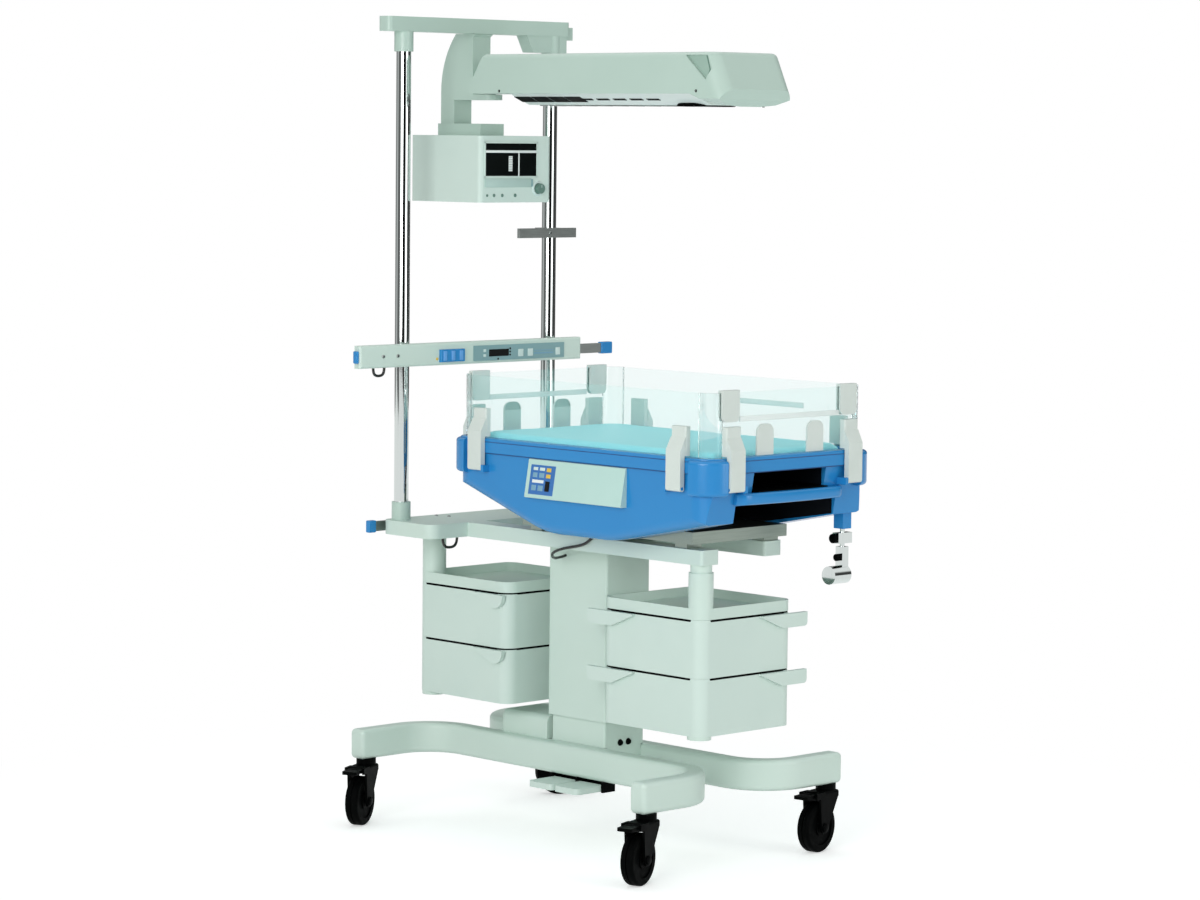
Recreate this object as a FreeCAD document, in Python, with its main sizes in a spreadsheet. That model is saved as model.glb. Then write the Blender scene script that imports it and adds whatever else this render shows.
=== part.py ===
import FreeCAD, Part
import Sketcher
import math
import os
import re

# Infant radiant warmer on casters: lifting column, tilting bed with folding clear walls,
# swivelling drawers and a swivelling radiant heater.
# Frame: millimetres, +Z up, foot end towards -Y, origin on the floor amid the four casters.

doc = FreeCAD.newDocument("RadiantWarmer")
sheet = doc.addObject("Spreadsheet::Sheet", "Sizes")

sizes = {
    # base legs
    "legBottom": 166, "legHeight": 76, "legThick": 50, "legInner": 58, "legEnd": 345,
    "legReach": 533, "legCurve": 140, "legRound": 12,
    # bridge and cover between the legs
    "bridgeFront": -113, "bridgeBack": 276, "bridgeLift": 8, "coverHalf": 75, "coverBack": 262,
    "coverHeight": 58, "coverRound": 18, "coverGap": 1.5,
    # column
    "columnY": -18, "innerX": 135, "innerY": 190, "innerWall": 5, "innerTop": 670,
    "sleeveX": 151, "sleeveY": 207, "sleeveGap": 1, "sleeveBottom": 307, "sleeveCap": 8,
    "sleeveRound": 7, "motorRadius": 38, "motorTop": 400, "spindleRadius": 12, "spindleTop": 668,
    "nutRadius": 24, "nutBottom": 460, "nutGap": 0.6,
    # pedals
    "pedalPinX": -100, "pedalPinZ": 150, "pedalPin": 4, "pedalBarrel": 8, "pedalTip": -190,
    "pedalWidth": 84, "pedalThick": 15, "pedalFirst": -143, "earThick": 7, "pedalGap": 0.5,
    "pedalRound": 12, "bracketBack": -66, "bracketPlate": 6,
    # casters
    "stemInset": 34, "trail": 40, "wheelRadius": 62.5, "wheelWidth": 34,
    "wheelEdge": 7, "axleRadius": 6, "shaftGap": 0.06, "stemRadius": 25, "stemHeight": 15,
    "hoodThick": 16, "hoodRound": 6, "hoodFront": -22, "hoodPast": 20, "cheekThick": 6, "cheekGap": 4,
    "cheekHalf": 15, "rimRadius": 44, "rimDepth": 3, "treadGroove": 3,
    "leverPast": 31, "leverPin": 3, "leverBarrel": 6, "leverReach": 44, "leverThick": 8,
    "leverGap": 1,
    # platform
    "platformBottom": 741, "platformHeight": 36, "headHalf": 287, "headFront": 292, "headBack": 484,
    "headRound": 30, "railInner": 103, "railOuter": 163, "railShort": 48, "deckHalf": 132,
    "deckThick": 12,
    # drawer masts
    "mastX": -133, "mastFoot": -504, "mastHead": 452, "mastRadius": 22, "mastGap": 0.06,
    "mastCollar": 26, "sleeveRadius": 30, "sleeveTop": 721, "unitLong": 309, "unitWide": 291,
    "unitRound": 32, "drawerBottom": 330, "drawerHeight": 136, "drawerStep": 140, "drawerWall": 4,
    "hubLap": 3.6, "trayHeight": 27, "trayWall": 5, "stopRadius": 29, "stopHeight": 9,
    "tabStart": 118, "tabPast": 38, "tabThick": 11, "tabDeep": 34, "tabShallow": 4, "tabDrop": 1,
    "tabRound": 10, "tabShort": -8, "tabTip": 28,
    # equipment rails
    "railThick": 10, "railTall": 25, "rearRailHalf": 295, "rearRailGap": 10, "rearRailZ": 746,
    "capLong": 23, "capOver": 3, "endCap": 8, "spacerX": 200, "spacerLong": 40,
    # poles and top bar
    "poleX": 252, "poleY": 446, "poleRadius": 18.5, "collarRadius": 24, "socketTop": 823,
    "collarLong": 50, "barTall": 37, "barTop": 2043, "barHalfWide": 22, "barLeft": -320,
    "barRight": 302, "bossLeft": 102, "bossTaper": 22, "bossRight": 38, "bossHalf": 20, "bossLong": 43,
    "barTabOut": 20, "barTabHalf": 9, "barTabLow": 9, "barTabTop": 13,
    # sickle arm and monitor
    "armHalf": 30, "armThick": 50, "armY": 530, "armCurveZ": "=barTop - 183", "armCurve": 194.5,
    "armTurn": 58, "armWebFront": 434, "armWebTop": "=barTop - 44",
    "armFootHalf": 40, "armFootFront": 392, "armFootThick": 30, "monitorHalf": 122,
    "monitorFront": 302, "monitorBack": 567, "monitorBottom": "=barTop - 463",
    "monitorTop": "=barTop - 295",
    "monitorRound": 12, "windowLeft": -104, "windowRight": 69, "windowThick": 2,
    "stripTop": "=barTop - 314", "stripBottom": "=barTop - 331", "screenTop": "=barTop - 338",
    "screenBottom": "=barTop - 396",
    "bandTop": "=barTop - 404", "bandBottom": "=barTop - 423", "bandRight": 58, "knobX": 76,
    "knobZ": "=barTop - 428", "knobRadius": 13,
    "knobLong": 16, "knobRound": 3, "knobPin": 4, "knobPinLong": 12,
    # control bar
    "caseLeft": -436, "caseRight": 321, "caseFront": 392, "caseBack": 414, "caseBottom": 1168,
    "caseTop": 1225, "caseRound": 6, "railLeftEnd": -409, "railRightEnd": 414, "controlRailZ": 1180,
    "panelLeft": -59, "panelRight": 257, "panelBottom": 1175, "panelTop": 1214, "panelThick": 2.5,
    "readoutLeft": -7, "readoutRight": 61, "readoutBottom": 1185, "readoutTop": 1203,
    "readoutThick": 1, "buttonLeft": -174, "buttonRight": -92, "buttonBottom": 1176,
    "buttonTop": 1208, "buttonProud": 7, "buttonDeep": 8, "buttonRound": 3, "buttonTravel": 4,
    "buttonGap": 0.3,
    "controlRailCapLong": 40,
    # short accessory rail on the right pole
    "shortLeft": 118, "shortRight": 318, "shortBottom": 1485, "clampHalf": 26, "clampOver": 5,
    # bed carrier and tilt pivot
    "carrierHalf": 162, "carrierFront": -503, "carrierBack": 90, "carrierBottom": 789,
    "carrierTop": 818, "packerLong": 40, "packerInset": 24, "packerEdge": 5, "pivotY": -215,
    "pivotZ": 862,
    "pivotPin": 10, "lugInner": 120, "lugThick": 14, "lugHalf": 30, "lugOver": 14,
    "pinInto": 16, "pinEndGap": 1,
    # tub
    "bedY": -223, "tubHalfX": 281, "tubHalfY": 449, "tubRound": 60, "rimTop": 1008, "rimTall": 37,
    "rimSoft": 3, "hullInset": 4, "footDraft": 24, "headDraft": 10, "tubHeadZ": 893, "tubFootZ": 852,
    "tubLowZ": 789, "tubLowHead": -100,
    "tubLowFoot": -330, "keelRound": 300, "tubEdge": 26, "rimWide": 33,
    "innerRound": 36, "floorTop": 978, "channelHalf": 172, "channelTop": 893,
    "slotHalf": 124, "slotBottom": 922, "slotTop": 972, "slotHead": 120,
    "bumperOver": 11, "bumperBottom": 920, "bumperTop": 1004, "bumperRound": 9,
    # tray with its handle bar
    "trayPlateHalf": 119, "trayPlateThick": 5, "trayGap": 0.4, "trayEndGap": 12, "gripInset": 101,
    "gripBottom": 896, "gripTop": 924, "gripPast": 10, "gripDeep": 20, "gripRound": 7,
    # side panel and mattress
    "sideFront": -395, "sideBack": -60, "sideBottom": 876, "sideGap": 1.5, "sideThick": 20,
    "sideThin": 4,
    "sideRound": 3, "padGap": 4, "padSeat": 0.4, "padThick": 40, "padCrown": 9, "padDraw": 7,
    # folding walls
    "wallThick": 6, "sideInset": 16, "endInset": 14, "wallGap": 2, "wallBottom": 1010,
    "wallTop": 1160, "cornerRadius": 40, "cornerWall": 5, "sideArmInset": 104, "endArmInset": 79,
    "armWide": 48, "armUpper": 15, "armStep": 14, "armLowTop": 1026, "armHigh": 1081,
    "armLowGap": 2, "armLow": 14, "armLowEnd": 926, "hingeZ": 936, "hingePin": 4, "hingeLug": 9,
    "hingeLugGap": 0.4, "stripLow": 1092, "stripHigh": 1104, "stripThick": 3, "clipHigh": 1083,
    "latchWide": 58,
    "latchLow": 1092, "latchOver": 6, "latchThick": 4, "clipWide": 56, "clipThick": 5,
    "endClip": 86, "armFair": 30, "armRound": 4, "latchRound": 14, "clipRound": 20,
    # radiant heater
    "heaterHalf": 125, "heaterFront": -545, "heaterBack": 353, "heaterBackTop": 291,
    "heaterBottom": "=barTop - 190", "heaterTop": "=barTop - 92", "heaterWall": 13, "heaterRoof": 16,
    "heaterRound": 16,
    "noseRound": 40, "noseRake": 41, "noseLip": 10, "cavityFront": -480, "chinDrop": 30, "chinLong": 30,
    "chinBack": 109, "bellyFlat": 34, "bellyMid": 84, "bellyRise": 4, "bellyHigh": 18,
    "veeFront": -522, "veeBack": -421,
    "veeApexY": -489, "veeApexZ": "=barTop - 158", "veeTopZ": "=barTop - 99", "veeDeep": 8,
    "heaterPinY": 400,
    "heaterPin": 14, "heaterHub": 27, "heaterHubTop": "=barTop - 113", "heaterWeb": 22, "webStep": 5,
    "shelfThick": 14,
    "shelfGap": 1, "shelfFront": 371, "reflectorGap": 0.5, "reflectorThick": 3,
    "reflectorBottom": "=barTop - 181", "elementX": 45, "elementZ": "=barTop - 147", "elementRadius": 8,
    "grilleHalf": 46, "grilleThick": 4, "grilleDrop": 27, "grilleBack": 205, "grilleGap": 3,
    "slotWide": 18,
    "slotPitch": 30, "slotEdge": 9,
    # hanging clamp
    "clampInsetX": 45, "clampInsetY": 54, "holderHalf": 15, "holderBottom": 812, "holderSocket": 16,
    "clampStem": 6, "clampStemBottom": 706, "crossHalf": 24, "crossBottom": 776, "crossTop": 802,
    "crossDeep": 10, "wingRadius": 10, "wingLong": 12, "bodyHalf": 11, "bodyTop": 768,
    "bodyBottom": 708, "screwRadius": 7, "screwZ": 742, "jawRadius": 22, "jawLong": 58, "jawZ": 700,
    # screws and cables
    "screwHead": 5, "screwHigh": 2.5, "plateScrewX": -119, "plateScrewStep": 11, "plateScrewY": 22,
    "plateScrewPitch": 36, "caseScrewX": 76, "caseScrewPitch": 48, "cableRadius": 3.5,
    "loopRadius": 24, "loopX": -200,
    "loopY": 318, "barLoopX": -366, "barLoopRadius": 18,
}

for row, alias in enumerate(sizes, start=1):
    sheet.set(f"A{row}", alias)
    sheet.setAlias(f"B{row}", alias)
for row, value in enumerate(sizes.values(), start=1):
    sheet.set(f"B{row}", str(value))
doc.recompute()

word = re.compile(r"[A-Za-z]+")
alongX = FreeCAD.Rotation(FreeCAD.Vector(0, 1, 0), 90)
alongY = FreeCAD.Rotation(FreeCAD.Vector(1, 0, 0), -90)
sideView = FreeCAD.Rotation(FreeCAD.Vector(1, 1, 1), 120)
frontView = FreeCAD.Rotation(FreeCAD.Vector(1, 0, 0), 90)


def bound(text):
    return word.sub(lambda m: f"Sizes.{m.group(0)}" if m.group(0) in sizes else m.group(0), str(text))


def size(alias):
    return float(sheet.get(alias))


def turned(angle):
    return FreeCAD.Rotation(FreeCAD.Vector(0, 0, 1), angle)


def put(item, x, y, z, turn=None):
    if turn is not None:
        item.Placement = FreeCAD.Placement(FreeCAD.Vector(), turn)
    for axis, text in zip("xyz", (x, y, z)):
        item.setExpression(f"Placement.Base.{axis}", bound(text))
    return item


def box(name, x, y, z):
    item = doc.addObject("Part::Box", name)
    for prop, (low, high) in zip(("Length", "Width", "Height"), (x, y, z)):
        item.setExpression(prop, bound(f"({high}) - ({low})"))
    return put(item, x[0], y[0], z[0])


def rod(name, radius, axis, centre, reach, sweep=360, start=0):
    item = doc.addObject("Part::Cylinder", name)
    item.setExpression("Radius", bound(radius))
    item.setExpression("Height", bound(f"({reach[1]}) - ({reach[0]})"))
    item.Angle = sweep
    first, second = centre
    if axis == "X":
        return put(item, reach[0], first, second, alongX)
    if axis == "Y":
        return put(item, first, reach[0], second, alongY)
    return put(item, first, second, reach[0], turned(start))


def fuse(name, *items):
    item = doc.addObject("Part::MultiFuse", name)
    item.Shapes = list(items)
    item.Refine = True
    return item


def cut(name, base, *tools):
    item = base
    for count, tool in enumerate(tools, start=1):
        last = count == len(tools)
        cutter = doc.addObject("Part::Cut", name if last else f"{name}_step{count}")
        cutter.Base = item
        cutter.Tool = tool
        cutter.Refine = True
        item = cutter
    return item


def common(name, base, tool):
    item = doc.addObject("Part::Common", name)
    item.Base = base
    item.Tool = tool
    return item


def group(name, *items):
    item = doc.addObject("Part::Compound", name)
    item.Links = list(items)
    return item


def mirrored(name, source, normal):
    item = doc.addObject("Part::Mirroring", name)
    item.Source = source
    item.Normal = normal
    return item


def rounded(name, base, radius, pick):
    doc.recompute()
    reach = size(radius)
    item = doc.addObject("Part::Fillet", name)
    item.Base = base
    item.Edges = [(n, reach, reach) for n, edge in enumerate(base.Shape.Edges, start=1) if pick(edge)]
    return item


def prism(name, view, points, span):
    # closed outline in a side view (Y, Z), front view (X, Z) or plan (X, Y), drawn out across it
    sketch = doc.addObject("Sketcher::SketchObject", f"{name}_outline")
    probe = [(doc_value(a), doc_value(b)) for a, b in points]
    corners = [FreeCAD.Vector(a, b, 0) for a, b in probe]
    count = len(corners)
    for n in range(count):
        sketch.addGeometry(Part.LineSegment(corners[n], corners[(n + 1) % count]), False)
    for n in range(count):
        sketch.addConstraint(Sketcher.Constraint("Coincident", n, 2, (n + 1) % count, 1))
    for n, (across, upward) in enumerate(points):
        for kind, text, value in (("DistanceX", across, probe[n][0]), ("DistanceY", upward, probe[n][1])):
            index = sketch.addConstraint(Sketcher.Constraint(kind, -1, 1, n, 1, value))
            sketch.setExpression(f"Constraints[{index}]", bound(text))
    solid = doc.addObject("Part::Extrusion", name)
    solid.Base = sketch
    solid.DirMode = "Custom"
    solid.Solid = True
    solid.setExpression("LengthFwd", bound(f"({span[1]}) - ({span[0]})"))
    if view == "side":
        solid.Dir = FreeCAD.Vector(1, 0, 0)
        sketch.Placement = FreeCAD.Placement(FreeCAD.Vector(), sideView)
        sketch.setExpression("Placement.Base.x", bound(span[0]))
    elif view == "front":
        solid.Dir = FreeCAD.Vector(0, 1, 0)
        sketch.Placement = FreeCAD.Placement(FreeCAD.Vector(), frontView)
        sketch.setExpression("Placement.Base.y", bound(span[0]))
    else:
        solid.Dir = FreeCAD.Vector(0, 0, 1)
        sketch.setExpression("Placement.Base.z", bound(span[0]))
    return solid


def doc_value(text):
    named = {alias: size(alias) for alias in word.findall(str(text)) if alias in sizes}
    probe = sheet.evalExpression(bound(text)) if named else text
    return float(probe)


def ends(edge):
    return [v.Point for v in edge.Vertexes]


def upright(edge):
    points = ends(edge)
    if len(points) != 2:
        return False
    gap = points[1].sub(points[0])
    return abs(gap.z) > 0.5 and math.hypot(gap.x, gap.y) < 1e-6


def lengthwise(edge):
    reach = edge.BoundBox
    return reach.XLength > 0.5 and reach.YLength < 1e-4 and reach.ZLength < 1e-4


def across(edge):
    reach = edge.BoundBox
    return reach.YLength > 0.5 and reach.XLength < 1e-4 and reach.ZLength < 1e-4


def flat_at(edge, height):
    reach = edge.BoundBox
    return abs(reach.ZMin - height) < 1e-4 and abs(reach.ZMax - height) < 1e-4


nodes = []


def node(item, label):
    item.Label = label
    nodes.append(item)
    return item


# base legs: a beam whose two ends sweep outward
legTop = "legBottom + legHeight"
legZ = ("legBottom", legTop)
pieces = [box("leg_beam", ("legInner", "legInner + legThick"),
              ("-(legReach - legCurve)", "legReach - legCurve"), legZ)]
for tag, way, start in (("head", 1, 90), ("foot", -1, 180)):
    centre = ("legInner + legCurve", f"{way} * (legReach - legCurve)")
    outer = rod(f"leg_bend_{tag}", "legCurve", "Z", centre, legZ, 90, start)
    inner = rod(f"leg_bend_inside_{tag}", "legCurve - legThick", "Z", centre, legZ)
    pieces.append(cut(f"leg_bend_ring_{tag}", outer, inner))
    edges = sorted([f"{way} * (legReach - legThick)", f"{way} * legReach"], key=doc_value)
    pieces.append(box(f"leg_end_{tag}", ("legInner + legCurve", "legEnd"), tuple(edges), legZ))
leg = fuse("leg_blank", *pieces)
legRight = rounded("leg_right", leg, "legRound",
                   lambda e: not upright(e) or abs(e.CenterOfMass.x - size("legEnd")) < 0.1)
node(legRight, "leg_right")
node(mirrored("leg_left", legRight, FreeCAD.Vector(1, 0, 0)), "leg_left")

# bridge between the legs with the rounded cover behind the column
bridge = box("bridge", ("-legInner", "legInner"), ("bridgeFront", "bridgeBack"),
             ("legBottom + bridgeLift", legTop))
sleeveBack = "columnY + sleeveY / 2"
cover = box("cover_blank", ("-coverHalf", "coverHalf"), (f"{sleeveBack} + coverGap", "coverBack"),
            (legTop, f"{legTop} + coverHeight"))
cover = rounded("cover", cover, "coverRound",
                lambda e: not flat_at(e, doc_value(legTop)) and e.CenterOfMass.y > doc_value(sleeveBack) + 5)
node(fuse("base_bridge", bridge, cover), "base_bridge")


def tube_span(half):
    return f"columnY - {half}", f"columnY + {half}"


# telescopic column: fixed inner section, screw drive, sliding sleeve with its nut
inner = box("inner_blank", ("-innerX / 2", "innerX / 2"), tube_span("innerY / 2"), (legTop, "innerTop"))
hollow = box("inner_hollow", ("-innerX / 2 + innerWall", "innerX / 2 - innerWall"),
             tube_span("(innerY / 2 - innerWall)"), (legTop, "innerTop"))
inner = rounded("inner_round", cut("inner_tube", inner, hollow), "innerWall",
                lambda e: upright(e) and abs(e.CenterOfMass.x) > size("innerX") / 2 - 0.1)
node(inner, "column_inner")
motor = rod("motor", "motorRadius", "Z", ("0", "columnY"), (legTop, "motorTop"))
spindle = rod("spindle", "spindleRadius", "Z", ("0", "columnY"), ("motorTop", "spindleTop"))
node(fuse("lift_drive", motor, spindle), "lift_drive")
sleeve = box("sleeve_blank", ("-sleeveX / 2", "sleeveX / 2"), tube_span("sleeveY / 2"),
             ("sleeveBottom", "platformBottom"))
sleeve = rounded("sleeve_round", sleeve, "sleeveRound", upright)
bore = box("sleeve_bore", ("-innerX / 2 - sleeveGap", "innerX / 2 + sleeveGap"),
           tube_span("(innerY / 2 + sleeveGap)"), ("sleeveBottom", "platformBottom - sleeveCap"))
nutTube = rod("nut_tube", "nutRadius", "Z", ("0", "columnY"), ("nutBottom", "platformBottom - sleeveCap"))
nutBore = rod("nut_bore", "spindleRadius + nutGap", "Z", ("0", "columnY"),
              ("nutBottom", "platformBottom - sleeveCap"))
nutTube = cut("nut", nutTube, nutBore)
node(fuse("column_outer", cut("sleeve_tube", sleeve, bore), nutTube), "column_outer")

# two foot pedals side by side on a bracket with one pin
pedalLow = "pedalPinZ - pedalBarrel - 2"
second = "pedalFirst + pedalWidth + earThick + 2 * pedalGap"
bracketEnd = f"{second} + pedalWidth + earThick + pedalGap"
bracketStart = "pedalFirst - earThick - pedalGap"
ears = []
for tag, start in (("near", bracketStart), ("mid", "pedalFirst + pedalWidth + pedalGap"),
                   ("far", f"{second} + pedalWidth + pedalGap")):
    ears.append(box(f"pedal_ear_{tag}", ("pedalPinX - pedalBarrel", "bracketBack"),
                    (start, f"{start} + earThick"), (pedalLow, "legBottom")))
ears.append(box("bracket_plate", ("bracketBack - bracketPlate", "bracketBack"),
                (bracketStart, bracketEnd), (pedalLow, "legBottom")))
ears.append(rod("pedal_pin", "pedalPin", "Y", ("pedalPinX", "pedalPinZ"), (bracketStart, bracketEnd)))
node(fuse("pedal_bracket", *ears), "pedal_bracket")
for label, start in (("pedal_raise", "pedalFirst"), ("pedal_lower", second)):
    reach = (start, f"{start} + pedalWidth")
    plate = box(f"{label}_plate_blank", ("pedalTip", "pedalPinX"), reach,
                ("pedalPinZ - pedalThick / 2", "pedalPinZ + pedalThick / 2"))
    plate = rounded(f"{label}_plate", plate, "pedalRound",
                    lambda e: upright(e) and e.CenterOfMass.x < size("pedalTip") + 1)
    barrel = rod(f"{label}_barrel", "pedalBarrel", "Y", ("pedalPinX", "pedalPinZ"), reach)
    hole = rod(f"{label}_hole", "pedalPin + shaftGap", "Y", ("pedalPinX", "pedalPinZ"), reach)
    node(cut(label, fuse(f"{label}_body", plate, barrel), hole), label)

# caster parts about the swivel axis, with the wheel trailing along +X
axle = ("trail", "wheelRadius")
cheekIn = "wheelWidth / 2 + cheekGap"
cheekOut = f"{cheekIn} + cheekThick"
hoodTop = "legBottom - stemHeight"
hoodLow = f"{hoodTop} - hoodThick"
leverZ = f"{hoodTop} - hoodThick / 2"
leverX = "trail + leverPast"
fork = [rod("stem", "stemRadius", "Z", ("0", "0"), (hoodTop, "legBottom"))]
hood = box("hood_blank", ("hoodFront", "trail + hoodPast"), (f"-({cheekOut})", cheekOut), (hoodLow, hoodTop))
fork.append(rounded("hood", hood, "hoodRound",
                    lambda e: flat_at(e, doc_value(hoodTop)) or upright(e)))
for tag, way in (("left", -1), ("right", 1)):
    side = tuple(sorted([f"{way} * ({cheekIn})", f"{way} * ({cheekOut})"], key=doc_value))
    fork.append(prism(f"cheek_{tag}", "front",
                      [("hoodFront + hoodRound", hoodLow), ("trail - cheekHalf", "wheelRadius"),
                       ("trail + cheekHalf", "wheelRadius"), ("trail + hoodPast", hoodLow)], side))
    fork.append(rod(f"cheek_end_{tag}", "cheekHalf", "Y", axle, side))
    fork.append(box(f"lever_ear_{tag}", ("trail", f"{leverX} + leverBarrel"), side, (hoodLow, hoodTop)))
fork.append(rod("axle", "axleRadius", "Y", axle, (f"-({cheekOut})", cheekOut)))
fork.append(rod("lever_pin", "leverPin", "Y", (leverX, leverZ), (f"-({cheekOut})", cheekOut)))
fork = fuse("fork", *fork)
wheelSide = ("-wheelWidth / 2", "wheelWidth / 2")
wheel = rounded("wheel_tyre", rod("wheel_blank", "wheelRadius", "Y", axle, wheelSide), "wheelEdge",
                lambda e: len(e.Vertexes) == 1)
grooves = []
for tag, reach in (("left", ("-wheelWidth / 2", "-wheelWidth / 2 + rimDepth")),
                   ("right", ("wheelWidth / 2 - rimDepth", "wheelWidth / 2"))):
    dish = rod(f"dish_{tag}", "rimRadius", "Y", axle, reach)
    grooves.append(cut(f"dish_ring_{tag}", dish, rod(f"hub_{tag}", "rimRadius / 2", "Y", axle, reach)))
band = ("-treadGroove / 2", "treadGroove / 2")
ring = cut("groove", rod("groove_blank", "wheelRadius", "Y", axle, band),
           rod("groove_core", "wheelRadius - treadGroove", "Y", axle, band))
wheelHole = rod("wheel_hole", "axleRadius + shaftGap", "Y", axle, wheelSide)
wheel = cut("wheel", wheel, *grooves, ring, wheelHole)
leverSide = (f"-({cheekIn} - leverGap)", f"{cheekIn} - leverGap")
paddle = box("paddle_blank", (f"{leverX}", f"{leverX} + leverReach"), leverSide,
             (f"{leverZ} - leverThick / 2", f"{leverZ} + leverThick / 2"))
paddle = rounded("paddle", paddle, "leverThick",
                 lambda e: upright(e) and e.CenterOfMass.x > doc_value(leverX) + 5)
barrel = rod("lever_barrel", "leverBarrel", "Y", (leverX, leverZ), leverSide)
leverHole = rod("lever_hole", "leverPin + shaftGap", "Y", (leverX, leverZ), leverSide)
lever = cut("lever", fuse("lever_body", paddle, barrel), leverHole)
casters = (("head_left", -1, 1, 207), ("foot_left", -1, -1, 198),
           ("foot_right", 1, -1, 189), ("head_right", 1, 1, 330))
for tag, wayX, wayY, angle in casters:
    for kind, master in (("fork", fork), ("wheel", wheel), ("brake", lever)):
        copy = put(group(f"caster_{kind}_{tag}", master), f"{wayX} * (legEnd - stemInset)",
                   f"{wayY} * (legReach - legThick / 2)", "0", turned(angle))
        node(copy, f"caster_{kind}_{tag}")

# platform: head plate, two side rails and the deck on the column
platformTop = "platformBottom + platformHeight"
platformZ = ("platformBottom", platformTop)
head = box("head_blank", ("-headHalf", "headHalf"), ("headFront", "headBack"), platformZ)
head = rounded("head_plate", head, "headRound", upright)
railFoot = "mastFoot - sleeveRadius"
rails = []
for tag, way in (("left", -1), ("right", 1)):
    side = tuple(sorted([f"{way} * railInner", f"{way} * railOuter"], key=doc_value))
    start = railFoot if way < 0 else f"{railFoot} + railShort"
    rail = box(f"side_rail_{tag}_blank", side, (start, "headFront + headRound"), platformZ)
    rails.append(rounded(f"side_rail_{tag}", rail, "sleeveRound",
                         lambda e: upright(e) and e.CenterOfMass.y < doc_value(start) + 1))
deck = box("deck", ("-railInner", "railInner"), tube_span("deckHalf"),
           ("platformBottom", "platformBottom + deckThick"))
node(fuse("platform", head, *rails, deck), "platform")

# drawer masts: post, fixed top tray with its collar, stop below the drawers
trayBottom = "drawerBottom + 2 * drawerStep"
trayTop = f"{trayBottom} + trayHeight"
masts = []
units = (("foot", "mastFoot", 1, "tabPast", "tabRound"),
         ("head", "mastHead", -1, "tabShort", "tabTip"))


def unit_plan(mast, way, inset):
    near = f"{mast} - {way} * (sleeveRadius - {inset})"
    far = f"{mast} + {way} * (unitLong - {inset})"
    side = (f"mastX - sleeveRadius + {inset}", f"mastX + unitWide - {inset}")
    return side, ((near, far) if way > 0 else (far, near))


def at_hub(edge, mast):
    spot = edge.CenterOfMass
    return math.hypot(spot.x - size("mastX"), spot.y - size(mast)) < size("sleeveRadius") * 1.6


for tag, mast, way, past, tip in units:
    axis = ("mastX", mast)
    post = rod(f"post_{tag}", "mastRadius", "Z", axis, ("drawerBottom - stopHeight", "platformBottom"))
    stop = rod(f"post_stop_{tag}", "stopRadius", "Z", axis,
               ("drawerBottom - stopHeight", "drawerBottom - mastGap"))
    neck = rod(f"post_neck_{tag}", "mastCollar", "Z", axis, ("sleeveTop", "platformBottom"))
    collar = rod(f"post_collar_{tag}", "sleeveRadius", "Z", axis, (trayBottom, "sleeveTop"))
    planX, planY = unit_plan(mast, way, 0)
    shell = box(f"tray_blank_{tag}", planX, planY, (trayBottom, trayTop))
    shell = rounded(f"tray_round_{tag}", shell, "unitRound",
                    lambda e: upright(e) and not at_hub(e, mast))
    shell = rounded(f"tray_hub_{tag}", shell, "sleeveRadius", lambda e: upright(e) and at_hub(e, mast)
                    and e.Length > 1 and e.CenterOfMass.x < size("mastX") - size("sleeveRadius") + 0.1)
    inX, inY = unit_plan(mast, way, "trayWall")
    well = box(f"tray_well_{tag}", inX, inY, (f"{trayBottom} + trayWall", trayTop))
    well = rounded(f"tray_well_round_{tag}", well, "sleeveRadius", upright)
    masts.append(fuse(f"mast_{tag}", cut(f"tray_{tag}", shell, well), collar, post, stop, neck))
node(group("drawer_masts", *masts), "drawer_masts")

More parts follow.
